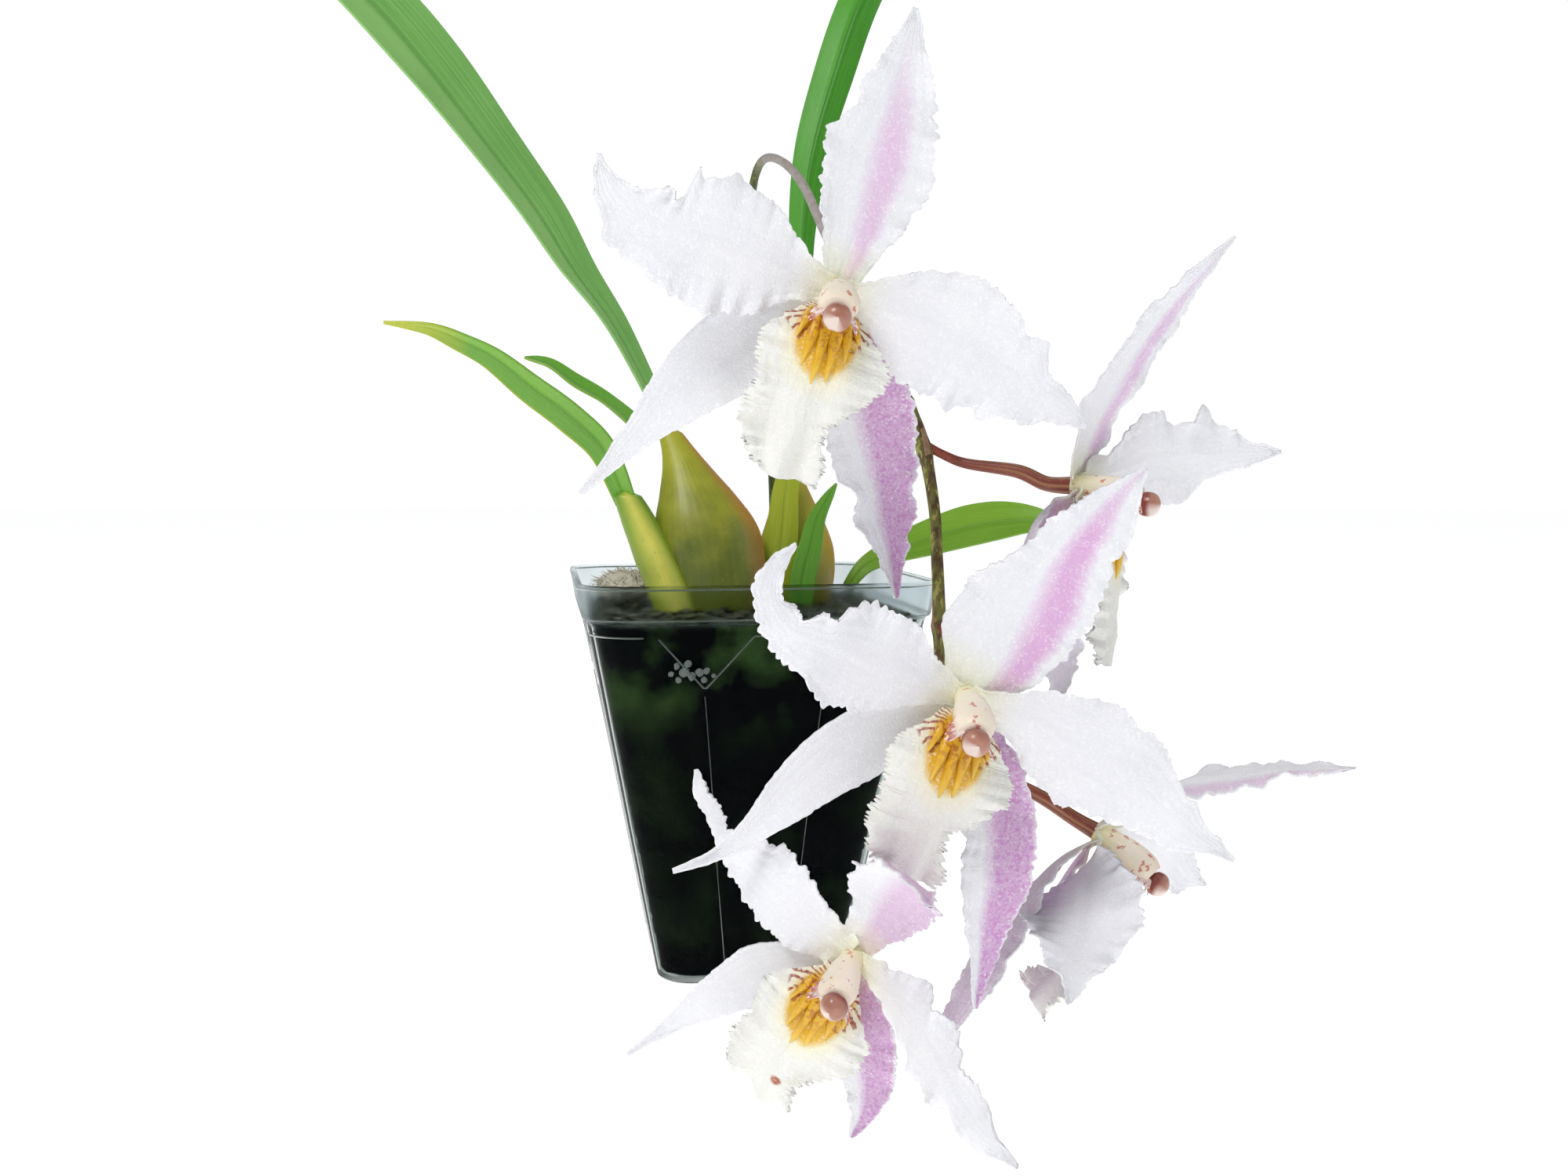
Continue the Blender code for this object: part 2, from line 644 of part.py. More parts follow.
def build_flowers():
    for flower, row in FLOWERS.items():
        heading, tilt, roll = (math.radians(angle) for angle in row["pose"])
        heart = bpy.data.objects.new(f"{flower}_heart", None)
        PLANT.objects.link(heart)
        heart.matrix_world = (
            Matrix.Translation(Vector(row["heart"]) * MM)
            @ Matrix.Rotation(heading, 4, "Z")
            @ Matrix.Rotation(math.pi / 2 - tilt, 4, "X")
            @ Matrix.Rotation(roll, 4, "Z")
        )
        for part, blade in row["blades"].items():
            build_flower_blade(flower, heart, part, blade)
        build_column(flower, heart, row["cap"])
        build_cap(flower, heart, row["cap"])
        back = heart.matrix_world @ Vector((0, 0, -0.0012))
        neck = heart.matrix_world @ Vector((0, 0, -0.0060))
        ends = [(*(place / MM), STALK_END_RADIUS) for place in (neck, back)]
        name = f"{flower}_stalk"
        curve = stem_curve(name, FLOWER_STALKS[flower] + ends, 8)
        add_object(name, curve, FINISH["stalk_maroon"])


clear_scene()
PLANT = new_collection("potted_orchid")
HELPERS = new_collection("helpers")
HELPERS.hide_render = True
FINISH = new_materials()
build_pot()
build_mix()
build_moss()
for bulb_name, bulb in BULBS.items():
    build_bulb(bulb_name, *bulb)
build_leaves()
build_flower_stem()
build_flowers()
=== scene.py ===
"""A potted orchid: a clear square pot, green bulbs and leaves, and one arching stem of
five white flowers with cream lips.

Metres, +Z up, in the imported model's frame. The plant's own sizes are in millimetres.
"""

import math
import random

import bmesh
import bpy
from mathutils import Matrix, Vector, noise


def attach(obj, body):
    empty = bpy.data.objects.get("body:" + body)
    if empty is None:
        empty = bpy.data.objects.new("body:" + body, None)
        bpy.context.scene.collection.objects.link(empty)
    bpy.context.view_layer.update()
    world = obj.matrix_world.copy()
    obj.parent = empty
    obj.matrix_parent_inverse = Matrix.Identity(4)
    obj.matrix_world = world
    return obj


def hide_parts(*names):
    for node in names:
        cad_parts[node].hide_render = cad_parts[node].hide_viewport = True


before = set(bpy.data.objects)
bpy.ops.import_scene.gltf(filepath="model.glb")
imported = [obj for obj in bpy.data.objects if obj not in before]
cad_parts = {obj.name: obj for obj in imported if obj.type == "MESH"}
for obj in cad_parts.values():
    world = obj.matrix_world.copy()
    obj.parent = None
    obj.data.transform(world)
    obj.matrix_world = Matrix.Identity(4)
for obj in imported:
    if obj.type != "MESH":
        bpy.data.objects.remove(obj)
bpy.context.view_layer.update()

# ---------------------------------------------------------------- Studio
# A pale floor that runs to the horizon, one large soft lamp above and to the left,
# a weak one at the right, and an even white surround.


def in_scene(name, data):
    """A new object in the scene that holds a mesh, a lamp or a camera."""
    made = bpy.data.objects.new(name, data)
    bpy.context.scene.collection.objects.link(made)
    return made


camera = in_scene("camera", bpy.data.cameras.new("camera"))
camera.data.lens = 32
camera.data.sensor_width = 36
camera.data.clip_start = 0.01
camera.location = (-0.0559, -0.3862, 0.135)
camera.rotation_euler = (math.radians(90 - 4.6), 0, math.radians(-10))
bpy.context.scene.camera = camera
bpy.context.scene.view_settings.view_transform = "Standard"


def add_lamp(name, place, target, size, power, colour):
    lamp = in_scene(name, bpy.data.lights.new(name, "AREA"))
    lamp.data.size = size
    lamp.data.energy = power
    lamp.data.color = colour
    lamp.location = place
    lamp.rotation_euler = (Vector(target) - Vector(place)).to_track_quat("-Z", "Y").to_euler()


add_lamp("key_lamp", (-0.55, -0.75, 1.10), (0, -0.05, 0.12), 0.42, 8.2, (1.0, 0.99, 0.97))
add_lamp("side_lamp", (0.95, -0.45, 0.55), (0, -0.05, 0.12), 0.60, 0.9, (0.92, 0.96, 1.0))
add_lamp("back_lamp", (0.15, 0.90, 0.70), (0, 0, 0.16), 0.70, 1.6, (1.0, 1.0, 1.0))


def node(tree, kind, inputs=None, **settings):
    """Adds a node, sets it up, and fills its inputs with values or with other outputs."""
    made = tree.nodes.new("ShaderNode" + kind)
    for name, value in settings.items():
        setattr(made, name, value)
    for key, value in (inputs or {}).items():
        if isinstance(value, bpy.types.NodeSocket):
            tree.links.new(value, made.inputs[key])
        else:
            made.inputs[key].default_value = value
    return made


surround = bpy.data.worlds.new("surround")
surround.use_nodes = True
bpy.context.scene.world = surround
sky = surround.node_tree
seen = node(sky, "LightPath").outputs["Is Camera Ray"]
brightness = node(sky, "Math", {0: seen, 1: 0.76, 2: 0.28}, operation="MULTIPLY_ADD")
sky.nodes["Background"].inputs["Color"].default_value = (0.985, 0.99, 1.0, 1.0)
sky.links.new(brightness.outputs[0], sky.nodes["Background"].inputs["Strength"])


def maths(tree, operation, a, b=0.0, c=0.0, clamp=False):
    made = node(tree, "Math", {0: a, 1: b, 2: c}, operation=operation, use_clamp=clamp)
    return made.outputs[0]


def times(tree, a, b, clamp=False):
    return maths(tree, "MULTIPLY", a, b, clamp=clamp)


def scaled(tree, value, factor, offset):
    return maths(tree, "MULTIPLY_ADD", value, factor, offset)


def ramp(tree, value, start, end, low=0.0, high=1.0):
    """low where the value is start, high where it is end, straight in between."""
    return node(tree, "MapRange", {"Value": value, "From Min": start, "From Max": end,
        "To Min": low, "To Max": high}).outputs[0]


def cloudy(tree, place, scale, detail=2.0, roughness=0.5):
    return node(tree, "TexNoise", {"Vector": place, "Scale": scale, "Detail": detail,
        "Roughness": roughness}).outputs["Fac"]


def blend(tree, share, a, b, strength=1.0):
    """The colour a turned towards the colour b, by share times strength."""
    if strength != 1.0:
        share = times(tree, share, strength)
    return node(tree, "Mix", {0: share, 6: a, 7: b}, data_type="RGBA").outputs[2]


SOCKETS = {
    "gloss": "Specular IOR Level", "roughness": "Roughness", "ior": "IOR",
    "coat": "Coat Weight", "coat_roughness": "Coat Roughness", "clear": "Transmission Weight",
    "sheen": "Sheen Weight", "sheen_roughness": "Sheen Roughness",
    "inner": "Subsurface Weight", "inner_reach": "Subsurface Radius",
}


def finish(name, **plain):
    """A material with its shader's plain values set, its node tree and its shader."""
    material = bpy.data.materials.new(name)
    material.use_nodes = True
    shader = material.node_tree.nodes["Principled BSDF"]
    for key, value in plain.items():
        shader.inputs[SOCKETS[key]].default_value = value
    return material, material.node_tree, shader


def wire_up(tree, shader, colour=None, roughness=None, height=None, strength=0.3, depth=0.001):
    """Feeds the shader's colour, roughness and, through a bump, its normal."""
    if colour is not None:
        tree.links.new(colour, shader.inputs["Base Color"])
    if roughness is not None:
        tree.links.new(roughness, shader.inputs["Roughness"])
    if height is not None:
        bump = node(tree, "Bump", {"Height": height, "Strength": strength, "Distance": depth})
        tree.links.new(bump.outputs[0], shader.inputs["Normal"])


def in_space(tree):
    return node(tree, "TexCoord").outputs["Object"]


def rgb(red, green, blue):
    return (red, green, blue, 1.0)


FLOOR_RADIUS = 6.0
floor_finish, tree, shader = finish("floor_paper", roughness=0.9)
grain = cloudy(tree, in_space(tree), 60.0, 3.0)
paper = blend(tree, grain, rgb(0.955, 0.96, 0.965), rgb(0.97, 0.97, 0.97))
wire_up(tree, shader, paper, height=grain, strength=0.02)
shader.inputs["Emission Color"].default_value = rgb(1, 1, 1)
shader.inputs["Emission Strength"].default_value = 0.72


def mesh_of(name, bm):
    """The finished bmesh as a mesh. The bmesh is freed."""
    mesh = bpy.data.meshes.new(name)
    bm.to_mesh(mesh)
    bm.free()
    return mesh


bm = bmesh.new()
bmesh.ops.create_circle(bm, cap_ends=True, segments=96, radius=FLOOR_RADIUS)
floor = in_scene("floor", mesh_of("floor", bm))
floor.data.materials.append(floor_finish)
floor.location.z = -0.0003

# ---------------------------------------------------------------- Pot
# A thin clear plastic nursery pot, injection moulded in one piece: four tapered sides
# with round corners, a stepped rim band, and eight drain holes in its floor.

MM = 0.001
POT_ROWS = [  # half width, corner radius, height, up the outside and down the inside
    (25.2, 9.5, 0), (25.7, 9.8, 0.4), (25.9, 10, 1.2), (44.0, 13, 97.5), (44.3, 13.1, 98.3),
    (45.2, 13.2, 98.9), (45.4, 13.3, 99.5), (46.5, 13.6, 106.7), (46.7, 13.7, 107.2),
    (46.65, 13.7, 107.7), (46.3, 13.6, 108), (45.5, 12.8, 108), (45.2, 12.6, 107.6),
    (44.0, 12.2, 99.0), (42.8, 11.8, 97), (25.2, 9.0, 2.0), (24.6, 8.7, 1.4),
]
DRAIN_HOLES, DRAIN_RADIUS, DRAIN_CIRCLE = 8, 2.6, 13.5


def square_ring(half_width, radius, height, corner_steps=10, side_steps=1):
    """Points round a square with rounded corners, millimetres."""
    inset = half_width - radius
    points = []
    for quarter in range(4):
        turn = quarter * math.pi / 2
        corner = Matrix.Rotation(turn, 3, "Z") @ Vector((inset, inset, height))
        for step in range(corner_steps + 1):
            angle = turn + step / corner_steps * math.pi / 2
            points.append(corner + radius * Vector((math.cos(angle), math.sin(angle), 0)))
        side = Matrix.Rotation(turn + math.pi / 2, 3, "Z")
        for step in range(1, side_steps):
            across = inset * (1 - 2 * step / side_steps)
            points.append(side @ Vector((half_width, -across, height)))
    return points


def skin(name, rows, around=False):
    """A mesh of quads through rows of points in mm. The UVMap runs across in u, along in v.

    With around set, each row is a ring, and the two ends are closed with fans."""
    wide, long = len(rows[0]), len(rows)
    corners = [point for row in rows for point in row]
    faces, places = [], []
    spans = wide if around else wide - 1
    for along in range(long - 1):
        v = (along / (long - 1), (along + 1) / (long - 1))
        for across in range(spans):
            after = (across + 1) % wide
            u = (across / spans, (across + 1) / spans)
            low, high = along * wide, (along + 1) * wide
            faces.append((low + across, low + after, high + after, high + across))
            places += [(u[0], v[0]), (u[1], v[0]), (u[1], v[1]), (u[0], v[1])]
    if around:
        for row, v in ((0, 0.0), (long - 1, 1.0)):
            middle = len(corners)
            corners.append(sum((Vector(p) for p in rows[row]), Vector()) / wide)
            for across in range(wide):
                a, b = row * wide + across, row * wide + (across + 1) % wide
                faces.append((b, a, middle) if row == 0 else (a, b, middle))
                places += [(across / wide, v)] * 3
    mesh = bpy.data.meshes.new(name)
    mesh.from_pydata([tuple(Vector(point) * MM) for point in corners], [], faces)
    layer = mesh.uv_layers.new(name="UVMap")
    layer.data.foreach_set("uv", [value for place in places for value in place])
    return mesh


def add_piece(name, mesh, finishes, crease=None):
    """Turns a mesh into a piece that rides on the pot's body."""
    for material in finishes:
        mesh.materials.append(material)
    mesh.polygons.foreach_set("use_smooth", [True] * len(mesh.polygons))
    if crease:
        mesh.set_sharp_from_angle(angle=math.radians(crease))
    piece = in_scene(name, mesh)
    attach(piece, "root")
    return piece


def applied(piece):
    """Puts the piece's modifiers into its mesh."""
    bpy.context.view_layer.update()
    graph = bpy.context.evaluated_depsgraph_get()
    mesh = bpy.data.meshes.new_from_object(piece.evaluated_get(graph))
    piece.modifiers.clear()
    piece.data = mesh
    return piece


def joined(name, meshes):
    """Several meshes as one, each keeping its own UVMap."""
    bm = bmesh.new()
    for mesh in meshes:
        bm.from_mesh(mesh)
        bpy.data.meshes.remove(mesh)
    return mesh_of(name, bm)


plastic, tree, shader = finish("clear_plastic", clear=1.0, ior=1.05, gloss=1.0)
place = in_space(tree)
haze = cloudy(tree, place, 90.0, 4.0)
flow = cloudy(tree, place, 22.0, 2.0)
level = node(tree, "SeparateXYZ", {"Vector": place}).outputs["Z"]
band = ramp(tree, level, 0.0960, 0.0995)
mottled = ramp(tree, flow, 0.35, 0.65)
misty = blend(tree, mottled, rgb(0.50, 0.56, 0.57), rgb(0.78, 0.84, 0.86))
tinted = blend(tree, band, rgb(0.48, 0.53, 0.51), misty)
dulled = ramp(tree, haze, 0.0, 1.0, 0.03, 0.14)
dulled = scaled(tree, band, 0.30, dulled)
wire_up(tree, shader, tinted, dulled, flow, 0.25)

pot = add_piece("pot_shell", skin("pot_shell", [square_ring(*row) for row in POT_ROWS], True),
    [plastic], crease=30)
bm = bmesh.new()
for index in range(DRAIN_HOLES):
    angle = (index + 0.5) / DRAIN_HOLES * math.tau
    hole = Matrix.Translation(Vector((DRAIN_CIRCLE * math.cos(angle), DRAIN_CIRCLE
        * math.sin(angle), 0)) * MM)
    bmesh.ops.create_cone(bm, cap_ends=True, segments=24, radius1=DRAIN_RADIUS * MM,
        radius2=DRAIN_RADIUS * MM, depth=6 * MM, matrix=hole)
cutter = in_scene("drain_cutter", mesh_of("drain_cutter", bm))
drain = pot.modifiers.new("drain", "BOOLEAN")
drain.object = cutter
drain.operation = "DIFFERENCE"
drain.solver = "EXACT"
applied(pot)
bpy.data.objects.remove(cutter, do_unlink=True)
pot.data.set_sharp_from_angle(angle=math.radians(30))
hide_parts("pot")

# ---------------------------------------------------------------- Pot's moulded lines
# The zigzag line round the pot, the ribs that run down from it and the rim's own lines
# stand out of the same plastic as low beads, where it looks paler.

ZIGZAG_TOP, ZIGZAG_DIP = 95.0, 13.6
ZIGZAG_STATIONS = (27.3, 3.0)


def side_at(height):
    """How far out the pot's outside is at a height below the rim band."""
    return 25.9 + (44.0 - 25.9) * (height - 1.2) / (97.5 - 1.2)


def smooth_path(points, steps):
    """Points at even shares along a smooth curve through the given points."""
    spans = len(points) - 1
    path = []
    for step in range(steps + 1):
        place = step / steps * spans
        low = min(int(place), spans - 1)
        t = place - low
        before, a, b, after = (Vector(points[min(max(low + k, 0), spans)]) for k in (-1, 0, 1, 2))
        bend = 2 * a + (b - before) * t
        bend += (2 * before - 5 * a + 4 * b - after) * t**2
        bend += (3 * a - before - 3 * b + after) * t**3
        path.append(bend / 2)
    return path


def carried_frames(path):
    """Along, across and face axes at each point of a path, without spinning."""
    frames, across = [], None
    for index in range(len(path)):
        along = path[min(index + 1, len(path) - 1)] - path[max(index - 1, 0)]
        along = along.to_3d().normalized()
        if across is None:
            across = along.cross(Vector((0, 0, 1)))
            if across.length < 0.5:
                across = Vector((1, 0, 0))
        across = (across - along * across.dot(along)).normalized()
        frames.append((along, across, across.cross(along)))
    return frames


def tube(name, path, radii, sides=16, section=None):
    """A closed tube along a path. section(share, angle) swells or dents its outline."""
    rows = []
    for index, ((along, across, face), place) in enumerate(zip(carried_frames(path), path)):
        ring = []
        for side in range(sides):
            angle = side / sides * math.tau
            radius = radii[index]
            if section:
                radius *= section(index / (len(path) - 1), angle)
            out = across * math.cos(angle) + face * math.sin(angle)
            ring.append(Vector(place) + out * radius)
        rows.append(ring)
    return skin(name, rows, True)


line_finish, tree, shader = finish("moulded_line", clear=0.75, ior=1.25, gloss=0.4)
cloud = cloudy(tree, in_space(tree), 260.0, 3.0)
pale = blend(tree, cloud, rgb(0.13, 0.18, 0.15), rgb(0.32, 0.39, 0.35))
rub = ramp(tree, cloud, 0.0, 1.0, 0.25, 0.55)
wire_up(tree, shader, pale, rub, cloud, 0.2)

lines = []
middle = sum(ZIGZAG_STATIONS) / 2
low = ZIGZAG_TOP - ZIGZAG_DIP
half_face = [(-ZIGZAG_STATIONS[0], ZIGZAG_TOP), (-middle, low), (-ZIGZAG_STATIONS[1], ZIGZAG_TOP)]
face_line = half_face + [(-across, height) for across, height in reversed(half_face)]
for quarter in range(4):
    turn = Matrix.Rotation(quarter * math.pi / 2, 3, "Z")
    corner = square_ring(side_at(ZIGZAG_TOP), 12.9, ZIGZAG_TOP)
    ends = corner[quarter * 11:quarter * 11 + 11]
    zigzag = [turn @ Vector((x, -side_at(z), z)) for x, z in face_line]
    bends = []
    for a, b in zip(zigzag, zigzag[1:]):
        bends += [a.lerp(b, share) for share in (0.03, 0.35, 0.65, 0.97)]
    lines.append(tube("zigzag", bends, [0.24] * len(bends), 8))
    lines.append(tube("corner", ends, [0.24] * len(ends), 8))
    for side in (-1, 1):
        rib = [turn @ Vector((side * middle * share, -side_at(height), height)) for height,
            share in ((low - 1.8, 1.0), (60, 0.88), (30, 0.72), (6, 0.57))]
        lines.append(tube("rib", rib, [0.15, 0.11, 0.09, 0.07], 8))
for height, half in ((99.2, 45.15), (107.0, 46.55)):
    band = square_ring(half, 13.4, height)
    band.append(band[0])
    lines.append(tube("band", band, [0.22] * len(band), 8))
add_piece("pot_moulded_lines", joined("pot_moulded_lines", lines), [line_finish])

# ---------------------------------------------------------------- Potting mix
# Fine black bark and peat, damp against the plastic, with green moss growing in it
# where the light reaches. The top is loose chips. It is filled in by hand.

mix_finish, tree, shader = finish("dark_mix", gloss=0.08)
place = in_space(tree)
height_in_pot = node(tree, "SeparateXYZ", {"Vector": place}).outputs["Z"]
near_top = ramp(tree, height_in_pot, 0.066, 0.092)
crumbs = node(tree, "TexVoronoi", {"Vector": place, "Scale": 330.0, "Randomness": 1.0})
clumps = cloudy(tree, place, 75.0, 5.0, 0.65)
patches = cloudy(tree, place, 48.0, 4.0)
damp = blend(tree, clumps, rgb(0.0012, 0.0014, 0.0036), rgb(0.007, 0.009, 0.016))
brown = blend(tree, crumbs.outputs["Color"], damp, rgb(0.014, 0.012, 0.009), 0.35)
moss_share = ramp(tree, patches, 0.46, 0.66)
moss_high = scaled(tree, near_top, 1.1, 0.16)
moss_share = times(tree, moss_share, moss_high, clamp=True)
green = blend(tree, clumps, rgb(0.030, 0.085, 0.018), rgb(0.230, 0.380, 0.120))
earth = blend(tree, moss_share, brown, green)
rough = ramp(tree, clumps, 0.0, 1.0, 0.45, 0.95)
lumps = scaled(tree, crumbs.outputs["Distance"], 0.25, clumps)
top_skin = ramp(tree, height_in_pot, 0.0970, 0.0982)
dry = blend(tree, clumps, rgb(0.05, 0.065, 0.05), rgb(0.19, 0.21, 0.18))
earth = blend(tree, top_skin, earth, dry)
wire_up(tree, shader, earth, rough, lumps, 0.45, 0.0010)

MIX_FOOT, MIX_TOP, MIX_RINGS = 1.8, 98.0, 64
WALL_FOOT, WALL_TOP = 1.3, 97.0  # heights that the inside of the wall tapers between
WALL_GAP = 0.25
rows = []
for step in range(MIX_RINGS + 1):
    height = MIX_FOOT + (MIX_TOP - MIX_FOOT) * step / MIX_RINGS
    share = min((height - WALL_FOOT) / (WALL_TOP - WALL_FOOT), 1.0)
    row = []
    for point in square_ring(24.8 + 18.0 * share - WALL_GAP, 8.8 + 3.0 * share, height, 6, 18):
        dent = 0.55 + noise.noise(point * 0.35) + 0.5 * noise.noise(point * 0.9)
        out = Vector((point.x, point.y, 0)).normalized()
        row.append(point - out * max(dent, 0.0) * 0.6)
    rows.append(row)
for shrink in (0.97, 0.90, 0.80, 0.68, 0.55, 0.42, 0.30, 0.18, 0.08):
    row = []
    for point in square_ring(42.2 * shrink, 11.8 * shrink, 98.3, 6, 18):
        row.append(point + Vector((0, 0, 0.7 * noise.noise(point * 0.25))))
    rows.append(row)
mix = add_piece("potting_mix_block", skin("potting_mix_block", rows, True),
    [mix_finish])
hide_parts("potting_mix")

# Loose bark chips on top of the mix.
CHIP_COUNT = 230
chip_finish, tree, shader = finish("bark_chips", gloss=0.3)
place = in_space(tree)
fibre = node(tree, "Mapping", {"Vector": place, "Scale": (900.0, 260.0, 900.0)})
strands = cloudy(tree, fibre.outputs[0], 1.0, 5.0)
tint = cloudy(tree, place, 130.0)
bark = blend(tree, strands, rgb(0.030, 0.027, 0.020), rgb(0.17, 0.145, 0.105))
bark = blend(tree, tint, bark, rgb(0.07, 0.11, 0.05), 0.8)
wire_up(tree, shader, bark, strands, strands, 0.8, 0.0006)
draw = random.Random(7)
bm = bmesh.new()
for _ in range(CHIP_COUNT):
    size = Vector((draw.uniform(2.2, 5.2), draw.uniform(1.4, 3.0), draw.uniform(0.6, 1.3)))
    spot = Vector((draw.uniform(-39, 39), draw.uniform(-39, 39), draw.uniform(98.6, 99.9)))
    turn = Matrix.Rotation(draw.uniform(0, math.tau), 4, "Z")
    turn = turn @ Matrix.Rotation(draw.uniform(-0.35, 0.35), 4, "X")
    made = bmesh.ops.create_icosphere(bm, subdivisions=2, radius=0.5)["verts"]
    for vertex in made:
        swell = 1 + 0.5 * noise.noise(vertex.co * 3 + spot)
        flat = Vector(max(-0.36, min(0.36, value)) * 1.3 for value in vertex.co) * swell
        flat = Vector(a * b for a, b in zip(flat, size))
        vertex.co = (turn @ flat + spot) * MM
add_piece("bark_chips", mesh_of("bark_chips", bm), [chip_finish], crease=40)

# ---------------------------------------------------------------- Grains and moss
# A few white perlite beads show against the front of the pot, and a tuft of pale dry
# moss lies on the mix at the left. The moss is matted hair over a loose lump.

grain_finish, tree, shader = finish("perlite", roughness=0.8)
place = in_space(tree)
pores = node(tree, "TexVoronoi", {"Vector": place, "Scale": 1900.0})
stain = cloudy(tree, place, 320.0, 3.0)
chalk = blend(tree, stain, rgb(0.66, 0.66, 0.64), rgb(0.95, 0.95, 0.93))
wire_up(tree, shader, chalk, None, pores.outputs["Distance"], 0.6, 0.0003)
WALL_THICKNESS = 1.25
GRAINS = [  # across, height and radius
    (-22.3, 87.6, 1.3), (-20.4, 86.0, 1.7), (-18.4, 84.9, 1.4), (-16.4, 85.9, 1.5),
    (-14.6, 86.3, 1.3), (-19.4, 88.1, 1.1), (-15.2, 83.9, 1.0), (-23.6, 85.6, 0.9),
    (-12.9, 84.9, 0.8), (-21.7, 83.9, 0.9),
]
bm = bmesh.new()
for across, height, radius in GRAINS:
    depth = side_at(height) - WALL_THICKNESS - radius * 0.98
    made = bmesh.ops.create_icosphere(bm, subdivisions=3, radius=radius)["verts"]
    for vertex in made:
        swell = 1 + 0.16 * noise.noise(vertex.co * 1.2 + Vector((across, height, 0)))
        spot = Vector((across, -depth, height))
        vertex.co = (vertex.co * swell + spot) * MM
add_piece("perlite_grains", mesh_of("perlite_grains", bm), [grain_finish])

MOSS_HAIRS = 420
MOSS_PLACE, MOSS_HALF_SIZE = Vector((-32, 4, 104.1)), (8.5, 12, 4.6)
moss_finish, tree, shader = finish("pale_moss", roughness=0.95, sheen=0.3)
place = in_space(tree)
tangle = cloudy(tree, place, 700.0, 4.0)
patch = cloudy(tree, place, 170.0, 2.0)
straw = blend(tree, tangle, rgb(0.34, 0.28, 0.16), rgb(0.86, 0.80, 0.66))
straw = blend(tree, patch, straw, rgb(0.80, 0.78, 0.72), 0.7)
wire_up(tree, shader, straw, None, tangle, 0.8, 0.0008)
rows = []
for ring in range(1, 30):
    polar = ring / 30 * math.pi
    row = []
    for step in range(44):
        angle = step / 44 * math.tau
        out = Vector((math.sin(polar) * math.cos(angle), math.sin(polar) * math.sin(angle),
            -math.cos(polar)))
        swell = 0.93 + 0.16 * noise.noise(out * 2.6) + 0.07 * noise.noise(out * 7)
        row.append(MOSS_PLACE + Vector(a * b * swell for a, b in zip(out, MOSS_HALF_SIZE)))
    rows.append(row)
hairs = [skin("moss_lump", rows, True)]
for _ in range(MOSS_HAIRS):
    lift, angle = draw.uniform(-0.25, 1.0), draw.uniform(0, math.tau)
    flat = math.sqrt(max(1 - lift * lift, 0))
    out = Vector((flat * math.cos(angle), flat * math.sin(angle), lift))
    foot = MOSS_PLACE + Vector(a * b * 0.90 for a, b in zip(out, MOSS_HALF_SIZE))
    lean = Vector((draw.uniform(-1, 1), draw.uniform(-1, 1), draw.uniform(-0.4, 0.5))) * 1.8
    path = [foot, foot + out * 0.5 + lean * 0.5, foot + out * 0.9 + lean, foot + out * 0.7 + lean
        * 1.5]
    hairs.append(tube("hair", path, [0.13, 0.11, 0.08, 0.04], 5))
moss = add_piece("moss", joined("moss", hairs), [moss_finish])
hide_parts("moss_tuft")

# ---------------------------------------------------------------- Bulbs
# Swollen green storage stems that stand on the mix. They are firm and waxy, with faint
# grooves up them, and yellow or flushed red where the light falls.


def new_group(name, inputs, outputs):
    """An empty node group with its sockets, its input node and its output node."""
    group = bpy.data.node_groups.new(name, "ShaderNodeTree")
    kinds = {"v": "NodeSocketVector", "f": "NodeSocketFloat", "c": "NodeSocketColor"}
    for label, kind, value in inputs:
        socket = group.interface.new_socket(name=label, in_out="INPUT", socket_type=kinds[kind])
        if value is not None:
            socket.default_value = value
    for label, kind in outputs:
        group.interface.new_socket(name=label, in_out="OUTPUT", socket_type=kinds[kind])
    return group, group.nodes.new("NodeGroupInput").outputs, group.nodes.new("NodeGroupOutput").inputs


band_group, given, out = new_group("band", [("Value", "f", 0.5), ("Centre", "f", 0.5),
    ("Half Width", "f", 0.1), ("Softness", "f", 0.1)], [("Mask", "f")])
away = maths(band_group, "ABSOLUTE", maths(band_group, "SUBTRACT", given["Value"], given["Centre"]))
past = maths(band_group, "SUBTRACT", away, given["Half Width"])
fade = maths(band_group, "DIVIDE", past, given["Softness"], clamp=True)
band_group.links.new(maths(band_group, "SUBTRACT", 1.0, fade), out["Mask"])

fleck_group, given, out = new_group("flecks", [("Vector", "v", None), ("Scale", "f", 500.0),
    ("Cover", "f", 0.4), ("Softness", "f", 0.08)], [("Mask", "f")])
cloud = cloudy(fleck_group, given["Vector"], given["Scale"], 3.0, 0.6)
above = maths(fleck_group, "SUBTRACT", cloud, maths(fleck_group, "SUBTRACT", 1.0, given["Cover"]))
fleck_group.links.new(maths(fleck_group, "DIVIDE", above, given["Softness"], clamp=True),
    out["Mask"])

vein_group, given, out = new_group("veins", [("Vector", "v", None), ("Count", "f", 12.0),
    ("Wander", "f", 0.4), ("Sharpness", "f", 3.0)], [("Mask", "f")])
parts = node(vein_group, "SeparateXYZ", {"Vector": given["Vector"]})
drift = cloudy(vein_group, given["Vector"], 5.0, 2.0)
phase = times(vein_group, parts.outputs["X"], given["Count"])
phase = maths(vein_group, "ADD", phase, times(vein_group, drift, given["Wander"]))
wave = maths(vein_group, "COSINE", times(vein_group, phase, math.tau))
wave = scaled(vein_group, wave, 0.5, 0.5)
vein_group.links.new(maths(vein_group, "POWER", wave, given["Sharpness"]), out["Mask"])


def band_at(tree, value, centre, half_width, softness):
    """1 where the value is near the centre, fading to 0 outside the half width."""
    return node(tree, "Group", {"Value": value, "Centre": centre, "Half Width": half_width,
        "Softness": softness}, node_tree=band_group).outputs["Mask"]


